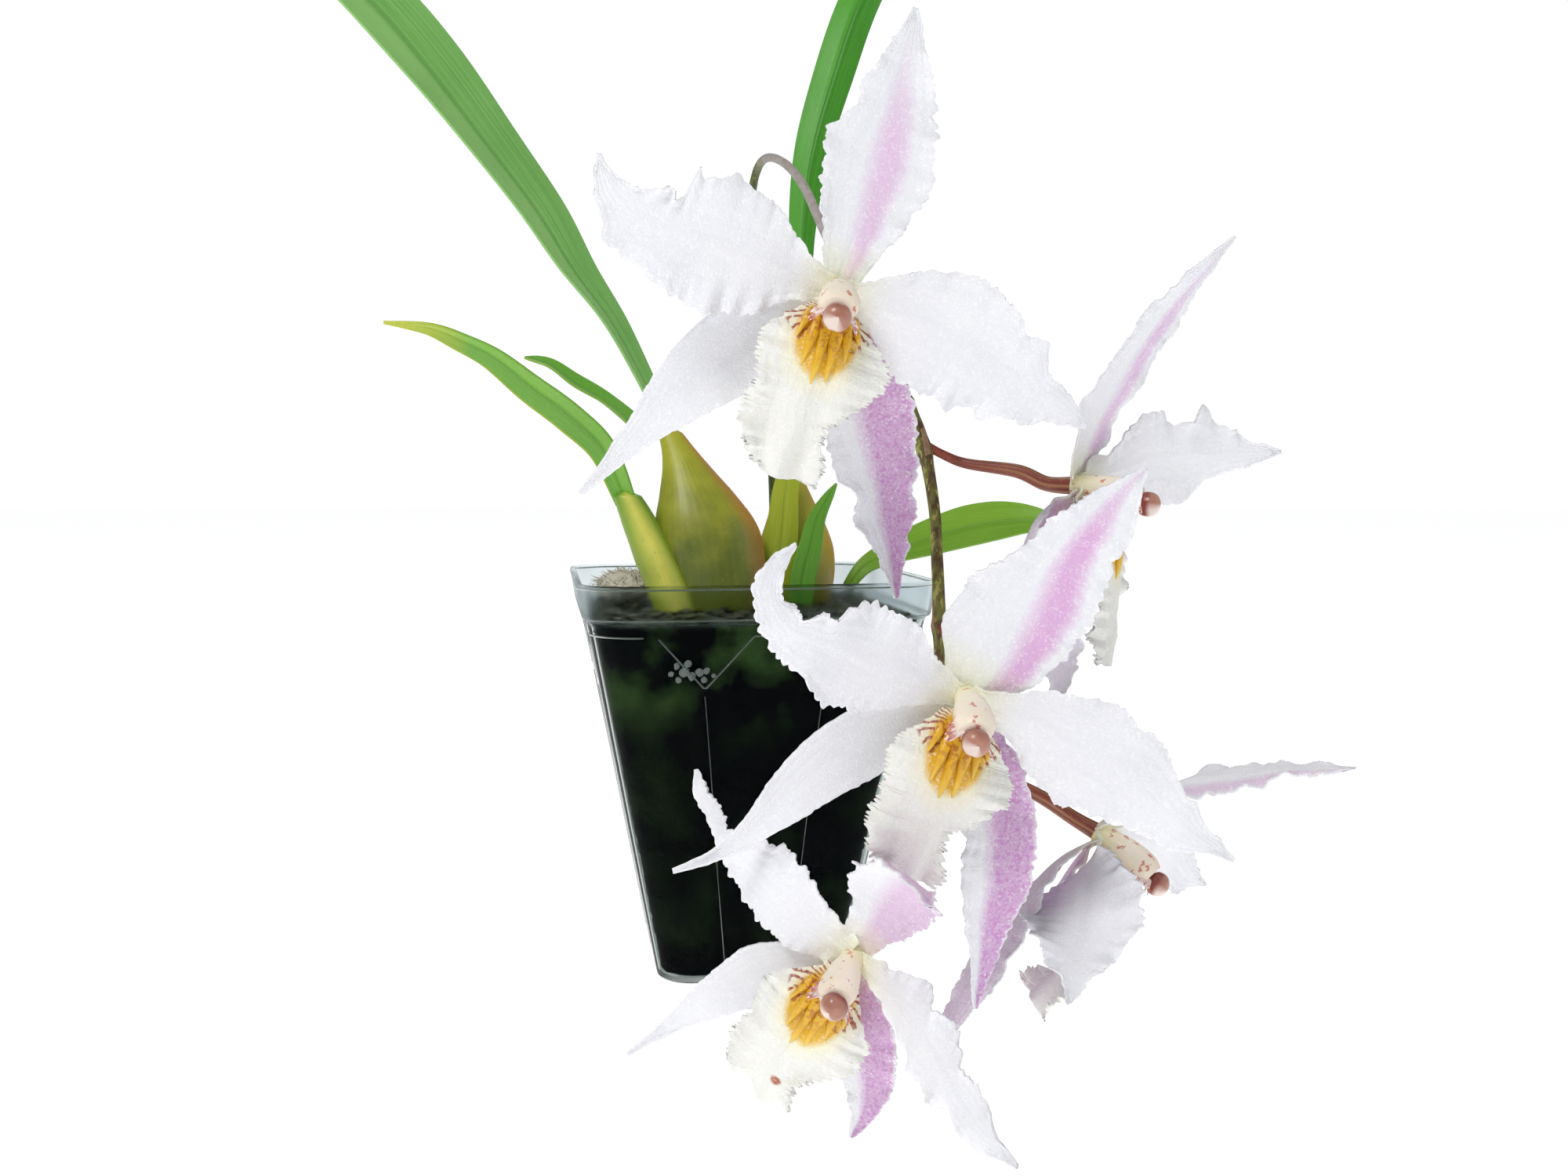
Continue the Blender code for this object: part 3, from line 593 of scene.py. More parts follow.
def flecks(tree, place, scale, cover, softness):
    return node(tree, "Group", {"Vector": place, "Scale": scale, "Cover": cover,
        "Softness": softness}, node_tree=fleck_group).outputs["Mask"]


def veins_on(tree, uv, count, wander, sharpness):
    return node(tree, "Group", {"Vector": uv, "Count": count, "Wander": wander,
        "Sharpness": sharpness}, node_tree=vein_group).outputs["Mask"]


def uv_of(tree):
    """The UVMap as a vector, with its u and v."""
    place = node(tree, "UVMap", uv_map="UVMap").outputs[0]
    parts = node(tree, "SeparateXYZ", {"Vector": place})
    return place, parts.outputs["X"], parts.outputs["Y"]


def bulb_finish(name, dark, mid, top, edge, edge_at):
    """Waxy green skin: dark low down, yellower at the top, with a flushed edge."""
    material, tree, shader = finish(name, gloss=0.5, coat=0.15, coat_roughness=0.25, inner=0.08,
        inner_reach=(0.003, 0.003, 0.001))
    uv, u, v = uv_of(tree)
    place = in_space(tree)
    mottle = cloudy(tree, place, 140.0, 4.0)
    sway = scaled(tree, mottle, 0.35, v)
    high = ramp(tree, sway, 0.50, 1.10)
    body = blend(tree, mottle, dark, mid)
    body = blend(tree, high, body, top)
    flush = band_at(tree, u, edge_at, 0.015, 0.13)
    flush = times(tree, flush, scaled(tree, mottle, 0.9, 0.35), clamp=True)
    body = blend(tree, flush, body, edge)
    stripe = veins_on(tree, uv, 34.0, 1.2, 2.0)
    body = blend(tree, stripe, body, top, 0.05)
    spots = flecks(tree, place, 900.0, 0.36, 0.05)
    body = blend(tree, spots, body, rgb(0.32, 0.34, 0.10), 0.45)
    rough = ramp(tree, mottle, 0.0, 1.0, 0.32, 0.55)
    grooves = scaled(tree, stripe, 0.12, mottle)
    wire_up(tree, shader, body, rough, grooves, 0.25, 0.0006)
    return material


BULBS = {  # foot, height, lean of the top and how late it comes, half widths, shape
    "bulb_front": ((-9, -15, 99.4), 49, (-12.5, 7, 2.1), (13.6, 8.5),
                   (0.90, 0.96, 1.0, 1.0, 0.92, 0.72, 0.50, 0.32, 0.22),
                   bulb_finish("bulb_front_skin", rgb(0.075, 0.115, 0.006),
                               rgb(0.19, 0.22, 0.010), rgb(0.46, 0.46, 0.030),
                               rgb(0.60, 0.19, 0.050), 0.99)),
    "bulb_right": ((16, 0, 99.4), 38, (-1, 3, 1.7), (10.5, 7.5),
                   (0.85, 0.93, 1.0, 0.98, 0.88, 0.72, 0.52, 0.34, 0.20),
                   bulb_finish("bulb_right_skin", rgb(0.24, 0.25, 0.010),
                               rgb(0.42, 0.38, 0.014), rgb(0.48, 0.46, 0.03),
                               rgb(0.60, 0.33, 0.035), 0.98)),
    "growth_left": ((-20.5, -20, 99.4), 31.5, (-12.5, 6, 1.15), (5.6, 4.4),
                    (0.95, 1.0, 1.0, 1.0, 0.96, 0.90, 0.82, 0.72, 0.60),
                    bulb_finish("growth_left_skin", rgb(0.22, 0.32, 0.018),
                                rgb(0.50, 0.55, 0.045), rgb(0.12, 0.30, 0.018),
                                rgb(0.74, 0.70, 0.12), 0.75)),
}


def at_share(values, share):
    """The value at a share 0 to 1 along evenly spaced values, on a smooth curve."""
    last = len(values) - 1
    place = min(max(share, 0.0), 1.0) * last
    low = min(int(place), last - 1)
    t = place - low
    before, a, b, after = (values[min(max(low + k, 0), last)] for k in (-1, 0, 1, 2))
    return 0.5 * (2 * a + (b - before) * t + (2 * before - 5 * a + 4 * b - after) * t**2
        + (3 * a - before - 3 * b + after) * t**3)


def bulb_ring(rise, foot, height, lean, half_widths, shape, grooves):
    ring = []
    level = (1 - math.cos(rise * math.pi)) / 2
    swell = at_share(shape, level) * min(1, max(0.02, (1 - level) * 26)) ** 0.5
    for step in range(64):
        angle = step / 64 * math.tau
        ridge = 1 + 0.004 * math.cos(angle * grooves) + 0.05 * abs(math.cos(angle)) ** 12
        dent = 1 + 0.02 * noise.noise(Vector((math.cos(angle), math.sin(angle), level * 3)) * 2)
        ring.append(Vector((foot[0] + lean[0] * level**lean[2] + math.cos(angle) * half_widths[0]
            * swell * ridge * dent, foot[1] + lean[1] * level**lean[2] + math.sin(angle)
            * half_widths[1] * swell * dent, foot[2] + height * level)))
    return ring


for name, (foot, height, lean, half_widths, shape, skin_finish) in BULBS.items():
    rows = [bulb_ring(step / 56, foot, height, lean, half_widths, shape, 9) for step in range(1,
        56)]
    bulb = add_piece(name + "_body", skin(name + "_body", rows, True), [skin_finish])
    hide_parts(name)

# ---------------------------------------------------------------- Leaves
# Long strap leaves, folded a little along the midrib, smooth and slightly shiny. They
# grow out of the bulbs' tops and their feet, and the old tips turn yellow.

LEAF_THICKNESS = 0.7
LEAF_SHAPE = (0.26, 0.34, 0.46, 0.62, 0.79, 0.93, 1.0, 0.92, 0.62, 0.05)
STRAP_SHAPE = (0.90, 1.0, 1.0, 0.98, 0.92, 0.84, 0.74, 0.60, 0.38, 0.06)


def leaf_finish(name, dark, light, painted_light_side, tip, tip_from, edge):
    """Green leaf skin: fine veins along it, darker along the midrib, one half painted paler as painted
    light.
    """
    material, tree, shader = finish(name, gloss=0.45, coat=0.10, coat_roughness=0.35, inner=0.10,
        inner_reach=(0.001, 0.002, 0.0005))
    uv, u, v = uv_of(tree)
    place = in_space(tree)
    cloud = cloudy(tree, place, 60.0, 5.0)
    stretched = node(tree, "Mapping", {"Vector": uv, "Scale": (46.0, 3.0, 1.0)})
    streaks = cloudy(tree, stretched.outputs[0], 1.0, 4.0)
    body = blend(tree, streaks, dark, light)
    # Painted light: one half of the leaf is painted paler, standing in for the half that faces the lamp.
    half = ramp(tree, u, 0.42, 0.54, painted_light_side[0], painted_light_side[1])
    body = blend(tree, half, body, light)
    body = blend(tree, cloud, body, dark, 0.35)
    veins = veins_on(tree, uv, 22.0, 0.3, 4.0)
    body = blend(tree, veins, body, light, 0.14)
    rib = band_at(tree, u, 0.5, 0.012, 0.035)
    body = blend(tree, rib, body, dark, 0.30)
    aged = scaled(tree, cloud, 0.25, v)
    old = ramp(tree, aged, tip_from, tip_from + 0.32)
    body = blend(tree, old, body, tip)
    rim = band_at(tree, u, 0.0, 0.05, 0.12)
    rim = times(tree, rim, edge)
    body = blend(tree, rim, body, tip)
    rough = ramp(tree, streaks, 0.0, 1.0, 0.30, 0.52)
    relief = maths(tree, "SUBTRACT", scaled(tree, veins, 0.5, streaks), rib)
    before_tip = ramp(tree, v, 0.88, 0.60)
    relief = times(tree, relief, before_tip)
    wire_up(tree, shader, body, rough, relief, 0.22, 0.0003)
    return material


YELLOW = rgb(0.55, 0.56, 0.04)
# Each leaf: its dark and light greens, how much paler each of its halves is painted as painted light,
# the yellow of old tips, where along it they start, and how far its rim turns yellow.
GREENS = {
    "leaf_large": leaf_finish("leaf_large_skin", rgb(0.050, 0.25, 0.022), rgb(0.34, 0.66, 0.20),
                              (0.80, 0.05), YELLOW, 1.6, 0.0),
    "leaf_upright": leaf_finish("leaf_upright_skin", rgb(0.012, 0.115, 0.004),
                                rgb(0.085, 0.40, 0.018), (0.75, 0.0), YELLOW, 1.6, 0.0),
    "leaf_low_left": leaf_finish("leaf_low_left_skin", rgb(0.060, 0.26, 0.018),
                                 rgb(0.24, 0.52, 0.050), (0.1, 0.6), YELLOW, 0.80, 0.75),
    "leaf_short": leaf_finish("leaf_short_skin", rgb(0.060, 0.26, 0.020), rgb(0.22, 0.52, 0.060),
                              (0.2, 0.5), YELLOW, 1.5, 0.2),
    "leaf_right": leaf_finish("leaf_right_skin", rgb(0.085, 0.26, 0.012), rgb(0.28, 0.52, 0.030),
                              (0.4, 0.1), YELLOW, 1.5, 0.0),
    "leaf_bract": leaf_finish("leaf_bract_skin", rgb(0.050, 0.22, 0.010), rgb(0.17, 0.44, 0.025),
                              (0.5, 0.1), YELLOW, 1.5, 0.1),
    "leaf_strap": leaf_finish("leaf_strap_skin", rgb(0.20, 0.30, 0.010), rgb(0.46, 0.52, 0.020),
                              (0.3, 0.3), YELLOW, 1.5, 0.1),
}
LEAVES = {  # midline, full width, turn at the base and the tip, fold, shape
    "leaf_large": (
        [(-22, -8, 149), (-27, -2, 161), (-35, 4, 177), (-45, 10, 192), (-55, 14, 209),
         (-69, 16, 228), (-84, 15, 247), (-98, 12, 262), (-112, 8, 272), (-126, 2, 277)],
        23, (8, -14), 0.20, LEAF_SHAPE,
    ),
    "leaf_upright": (
        [(15, 3, 139), (17, 5, 159), (19, 9, 181), (20, 12, 204), (23, 14, 226),
         (29, 15, 247), (37, 14, 270), (47, 7, 288), (57, -2, 298)],
        13, (-60, -20), 0.20, LEAF_SHAPE,
    ),
    "leaf_low_left": (
        [(-32.6, -14, 128), (-38.5, -14, 142), (-47, -16, 150.5), (-57, -18, 158),
         (-66, -21, 165), (-74, -22, 169), (-82, -24, 172), (-93, -24, 173)],
        10, (-30, -58), 0.26, (0.60, 0.78, 0.96, 1.0, 0.94, 0.86, 0.76, 0.62, 0.40, 0.06),
    ),
    "leaf_short": (
        [(-25, 6, 144), (-30, 8, 150), (-37, 11, 156), (-45, 12, 161), (-52, 13, 166),
         (-59, 14, 168)],
        8, (-10, -30), 0.26, STRAP_SHAPE,
    ),
    "leaf_right": (
        [(32, 6, 103), (37, 6, 109), (46, 8, 113), (56, 10, 116), (70, 10, 120),
         (84, 8, 122), (97, 3, 121)],
        13, (60, 66), 0.20, LEAF_SHAPE,
    ),
    "leaf_bract": (
        [(14, -14, 100), (15, -14, 108), (17, -14, 116), (19, -14, 124), (24, -15, 133)],
        7, (4, -24), 0.24, STRAP_SHAPE,
    ),
    "leaf_strap": (
        [(9, -10, 100), (9, -10, 110), (10, -10, 120), (11, -9, 130), (13, -8, 140),
         (16, -6, 150)],
        9, (-6, -6), -0.20, STRAP_SHAPE,
    ),
}


def thicken(piece, thickness, back=0):
    """Gives a sheet its thickness. back picks the material of its other side."""
    shell = piece.modifiers.new("thickness", "SOLIDIFY")
    shell.thickness = thickness * MM
    shell.offset = 0.0
    shell.material_offset = back
    return applied(piece)


def uneven(x, y, z):
    """A smooth random value near 0 at a place."""
    return noise.noise(Vector((x, y, z)))


for index, (name, (points, width, turns, fold, shape)) in enumerate(LEAVES.items()):
    steps = 110
    path = smooth_path(points, steps)
    rows = []
    for step, (along, across, _) in enumerate(carried_frames(path)):
        share = step / steps
        turn = math.radians(turns[0] + (turns[1] - turns[0]) * share)
        side = Matrix.Rotation(turn, 3, along) @ across
        face = side.cross(along)
        half = max(width * at_share(shape, share) / 2, 0.12)
        row = []
        for cell in range(29):
            reach = -math.cos(cell / 28 * math.pi)
            wander = 1 + 0.012 * uneven(share * 9, index, math.copysign(3, reach))
            crease = -0.10 * half * math.exp(-(reach * 7) ** 2)
            ripple = 0.035 * half * reach**2 * math.sin(share * 17 + reach * 2 + index)
            lift = fold * half * abs(reach) ** 1.6 + crease + ripple
            row.append(path[step] + side * reach * half * wander + face * lift)
        rows.append(row)
    leaf = add_piece(name + "_blade", skin(name + "_blade", rows), [GREENS[name]])
    thicken(leaf, LEAF_THICKNESS)
    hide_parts(name)

# ---------------------------------------------------------------- Flower stem
# One wiry stem that rises behind the flowers, arches over and hangs in front of the
# pot. It is olive green flecked with brown, with a joint and a dry bract at each flower.

STEM = [  # x, y, z and radius
    (11, 13, 99.6, 1.5), (11, 10, 118, 1.4), (9, 3, 145, 1.35), (6, -6, 166, 1.3),
    (2, -16, 184, 1.25), (-1, -26, 198, 1.2), (-2, -37, 207.5, 1.15), (-1, -48, 211, 1.1),
    (2, -58, 208, 1.1), (5, -67, 201, 1.15), (8, -75, 190, 1.2), (12, -83, 177, 1.25),
    (17, -91, 165, 1.3), (20, -97, 154, 1.35), (24, -100, 143, 1.5), (26, -103, 129, 1.35),
    (26, -106, 117, 1.4), (26, -108, 105, 1.5), (26, -109, 92, 1.3), (27, -110, 79, 1.4),
    (26, -109, 66, 1.15), (23, -109, 55, 1.1), (19, -110, 51, 1.1),
]
JOINTS = (13.35, 14.2, 17.1, 19.1, 21.1)  # places along the stem, counted in its points


def stem_finish(name, base, brown, yellow, arch):
    """Olive skin with long brown and yellow flecks, grey and rosy over the arch."""
    material, tree, shader = finish(name, gloss=0.4)
    uv, u, v = uv_of(tree)
    place = in_space(tree)
    long_way = node(tree, "Mapping", {"Vector": place, "Scale": (1.0, 1.0, 0.35)}).outputs[0]
    body = blend(tree, flecks(tree, long_way, 620.0, 0.55, 0.14), base, brown)
    body = blend(tree, flecks(tree, long_way, 900.0, 0.44, 0.05), body, yellow)
    if arch:
        over = band_at(tree, v, 0.395, 0.07, 0.04)
        fuzz = cloudy(tree, place, 700.0, 3.0)
        grey = blend(tree, fuzz, rgb(0.20, 0.17, 0.15), rgb(0.52, 0.47, 0.45))
        body = blend(tree, over, body, grey)
        # Darker green towards the stem's foot.
        near_base = band_at(tree, v, 0.10, 0.17, 0.06)
        body = blend(tree, near_base, body, rgb(0.05, 0.09, 0.03), 0.8)
    skin_noise = cloudy(tree, long_way, 1100.0, 3.0)
    rough = ramp(tree, skin_noise, 0.0, 1.0, 0.38, 0.7)
    wire_up(tree, shader, body, rough, skin_noise, 0.4, 0.0003)
    return material


olive = stem_finish("stem_olive", rgb(0.190, 0.200, 0.045), rgb(0.110, 0.060, 0.030),
    rgb(0.42, 0.40, 0.10), True)
steps = 264
path = smooth_path(STEM, steps)
radii = []
for step, point in enumerate(path):
    along = step / steps * (len(STEM) - 1)
    swell = sum(0.34 * math.exp(-((along - joint) / 0.14) ** 2) for joint in JOINTS)
    radii.append(point[3] * (0.90 + swell + 0.04 * uneven(along * 3, 0, 0)))
path = [point.to_3d() for point in path]
stem_mesh = tube("stem", path, radii, 20, lambda share, angle: 1 + 0.03 * math.cos(angle * 5))

bract_finish, tree, shader = finish("dry_bract", roughness=0.75)
uv, u, v = uv_of(tree)
fibres = veins_on(tree, uv, 9.0, 0.5, 2.0)
papery = cloudy(tree, in_space(tree), 900.0, 4.0)
tan = blend(tree, papery, rgb(0.25, 0.12, 0.05), rgb(0.62, 0.44, 0.26))
tan = blend(tree, fibres, tan, rgb(0.16, 0.07, 0.03), 0.35)
wire_up(tree, shader, tan, None, fibres, 0.5, 0.0003)

BRACT_LENGTH, BRACT_THICKNESS = 5.6, 0.25
BRACTS = [  # foot on the stem, heading and lean in degrees
    (19.5, -97, 154.5, 200, 16), (25, -101.5, 139.5, 90, 16), (26, -108, 103.5, 60, 16),
    (27, -110, 77, 100, 16), (23, -109, 55.5, 20, 16),
]
stem_piece = add_piece("flower_stem_stalk", stem_mesh, [olive])
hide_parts("flower_stem")
for index, (x, y, z, heading, lean) in enumerate(BRACTS):
    place = Matrix.Translation((x, y, z))
    place = place @ Matrix.Rotation(math.radians(heading), 4, "Z")
    place = place @ Matrix.Rotation(math.radians(90 - lean), 4, "X")
    rows = []
    for step in range(25):
        up = step / 24
        half = 1.9 * (1 - up) ** 0.7 + 0.12
        row = []
        for cell in range(15):
            reach = cell / 7 - 1
            curl = -0.9 * (1 - reach**2) + 1.4 * reach**2 * (1 - up)
            jag = 0.12 * uneven(up * 8, reach * 3, index)
            row.append(place @ Vector((reach * half, up * BRACT_LENGTH + jag, -curl * 0.8)))
        rows.append(row)
    bract = add_piece(f"stem_bract_{index}", skin("bract", rows), [bract_finish])
    thicken(bract, BRACT_THICKNESS)

# ---------------------------------------------------------------- Flower stalks
# Each flower's own stalk: slim and maroon where it leaves the stem, then the ribbed
# ovary behind the flower, with yellow highlights painted along its ridges.

FLOWERS = {  # heart, pose (heading, tilt and roll in degrees), cap to the side and below
    "flower_top": ((-1, -130, 169), (-5, -6, -18), (0, -5.0)),
    "flower_middle": ((22, -138, 94), (-3, -6, -23), (0.4, -4.7)),
    "flower_low": ((3, -131, 43), (-35, -11, -29), (2.4, -0.8)),
    "flower_right": ((52, -116, 133), (54, -4, -3), (0, -2.6)),
    "flower_side": ((58, -117, 61), (52, -25, -13), (0.6, -3.0)),
}
STALKS = {  # x, y, z and radius
    "flower_top": [(20, -97, 155, 0.8), (18, -99.5, 157, 0.8), (15, -106, 164, 0.9),
                   (7, -114, 168, 1.2)],
    "flower_middle": [(26, -108.5, 103.8, 0.9), (26, -111.5, 103, 0.9), (26, -119, 101, 1.1),
                      (25, -126, 97, 1.4)],
    "flower_low": [(19.3, -110, 51, 0.9), (17, -112, 50, 0.9), (14, -117, 48.5, 1.1),
                   (9, -123, 46, 1.4)],
    "flower_right": [(24.4, -100.4, 141.8, 0.9), (28, -101.6, 139.6, 0.95),
                     (33, -103, 137.6, 1.1), (42, -109, 136, 1.4)],
    "flower_side": [(27, -110, 78, 1.0), (30, -110.5, 76.4, 1.0), (37, -111, 73, 1.2),
                    (47, -111.5, 68, 1.4)],
}


def heart_of(flower):
    """Where a flower sits and faces: out of its heart along +Z, in millimetres."""
    heart, pose, _ = FLOWERS[flower]
    heading, tilt, roll = (math.radians(angle) for angle in pose)
    return (Matrix.Translation(heart) @ Matrix.Rotation(heading, 4, "Z") @ Matrix.Rotation(math.pi
        / 2 - tilt, 4, "X") @ Matrix.Rotation(roll, 4, "Z"))


maroon, tree, shader = finish("stalk_maroon", gloss=0.5, coat=0.12, coat_roughness=0.3)
uv, u, v = uv_of(tree)
place = in_space(tree)
blotch = cloudy(tree, place, 210.0, 3.0)
red = blend(tree, blotch, rgb(0.11, 0.016, 0.010), rgb(0.38, 0.080, 0.040))
ribs = veins_on(tree, uv, 6.0, 0.3, 3.0)
late = ramp(tree, v, 0.25, 0.7)
# Painted highlights: the ridges towards the ovary end are painted yellow as if they caught the light.
red = blend(tree, times(tree, ribs, late), red, rgb(0.56, 0.30, 0.12), 0.65)
dots = flecks(tree, place, 1300.0, 0.38, 0.06)
red = blend(tree, dots, red, rgb(0.50, 0.30, 0.12), 0.5)
rough = ramp(tree, blotch, 0.0, 1.0, 0.28, 0.5)
wire_up(tree, shader, red, rough, ribs, 0.4, 0.0004)

for flower, points in STALKS.items():
    heart = heart_of(flower)
    neck, back = heart @ Vector((0, 0, -6.0)), heart @ Vector((0, 0, -0.3))
    row = points + [(*neck, 1.5), (*back, 1.75)]
    path = smooth_path(row, 70)
    radii = [point[3] for point in path]
    stalk = tube(flower + "_stalk", [point.to_3d() for point in path], radii, 24, lambda share,
        angle: 1 + 0.09 * share * math.cos(angle * 6 + share * 2.5))
    piece = add_piece(flower + "_stalk_tube", stalk, [maroon])
    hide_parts(flower + "_stalk")

# ---------------------------------------------------------------- Sepals and petals
# Three sepals and two petals to each flower, thin and soft with a glassy bloom of fine
# crystal grains, whose sparkle is painted into the colour as white glints. Their margins
# are ruffled and torn into small teeth. The sepals carry a lilac stripe or flush, and are
# lilac behind.

BLADE_THICKNESS = 0.45
HUB_RADIUS = 2.6
MIDRIB_GROOVE = 0.35
HIDDEN_ROWS = 6  # rows of a blade that run back into the flower's heart
RISE = {"dorsal": 0.0, "lateral": 0.0, "petal": 1.4, "lip": 2.4}
SEPAL_SHAPE = (0.34, 0.56, 0.84, 0.99, 1.0, 0.90, 0.73, 0.50, 0.27, 0.04)
PETAL_SHAPE = (0.24, 0.44, 0.78, 0.98, 1.0, 0.90, 0.70, 0.45, 0.22, 0.03)
CURLED_SHAPE = (0.26, 0.52, 0.90, 1.02, 0.98, 0.70, 0.46, 0.38, 0.24, 0.03)
LATERAL_SHAPE = (0.34, 0.62, 0.92, 1.0, 0.90, 0.74, 0.52, 0.32, 0.16, 0.05)
BROAD_FOOT_SHAPE = (0.50, 0.85, 1.0, 1.0, 0.92, 0.82, 0.70, 0.52, 0.30, 0.04)
SLIM_SHAPE = (0.62, 0.95, 1.0, 0.86, 0.72, 0.60, 0.50, 0.38, 0.22, 0.04)
SHORT_CURL_SHAPE = (0.52, 0.80, 1.0, 0.98, 0.86, 0.62, 0.42, 0.32, 0.22, 0.04)
THIN_TIP_SHAPE = (0.52, 0.78, 0.96, 1.0, 0.90, 0.72, 0.50, 0.30, 0.17, 0.05)
OWN_SHAPES = {
    "flower_middle_dorsal_sepal": BROAD_FOOT_SHAPE,
    "flower_right_dorsal_sepal": SLIM_SHAPE,
    "flower_middle_petal_left": CURLED_SHAPE,
    "flower_low_petal_left": SHORT_CURL_SHAPE,
    "flower_top_lateral_sepal_left": THIN_TIP_SHAPE,
    "flower_middle_lateral_sepal_left": LATERAL_SHAPE,
    "flower_low_lateral_sepal_left": LATERAL_SHAPE,
}
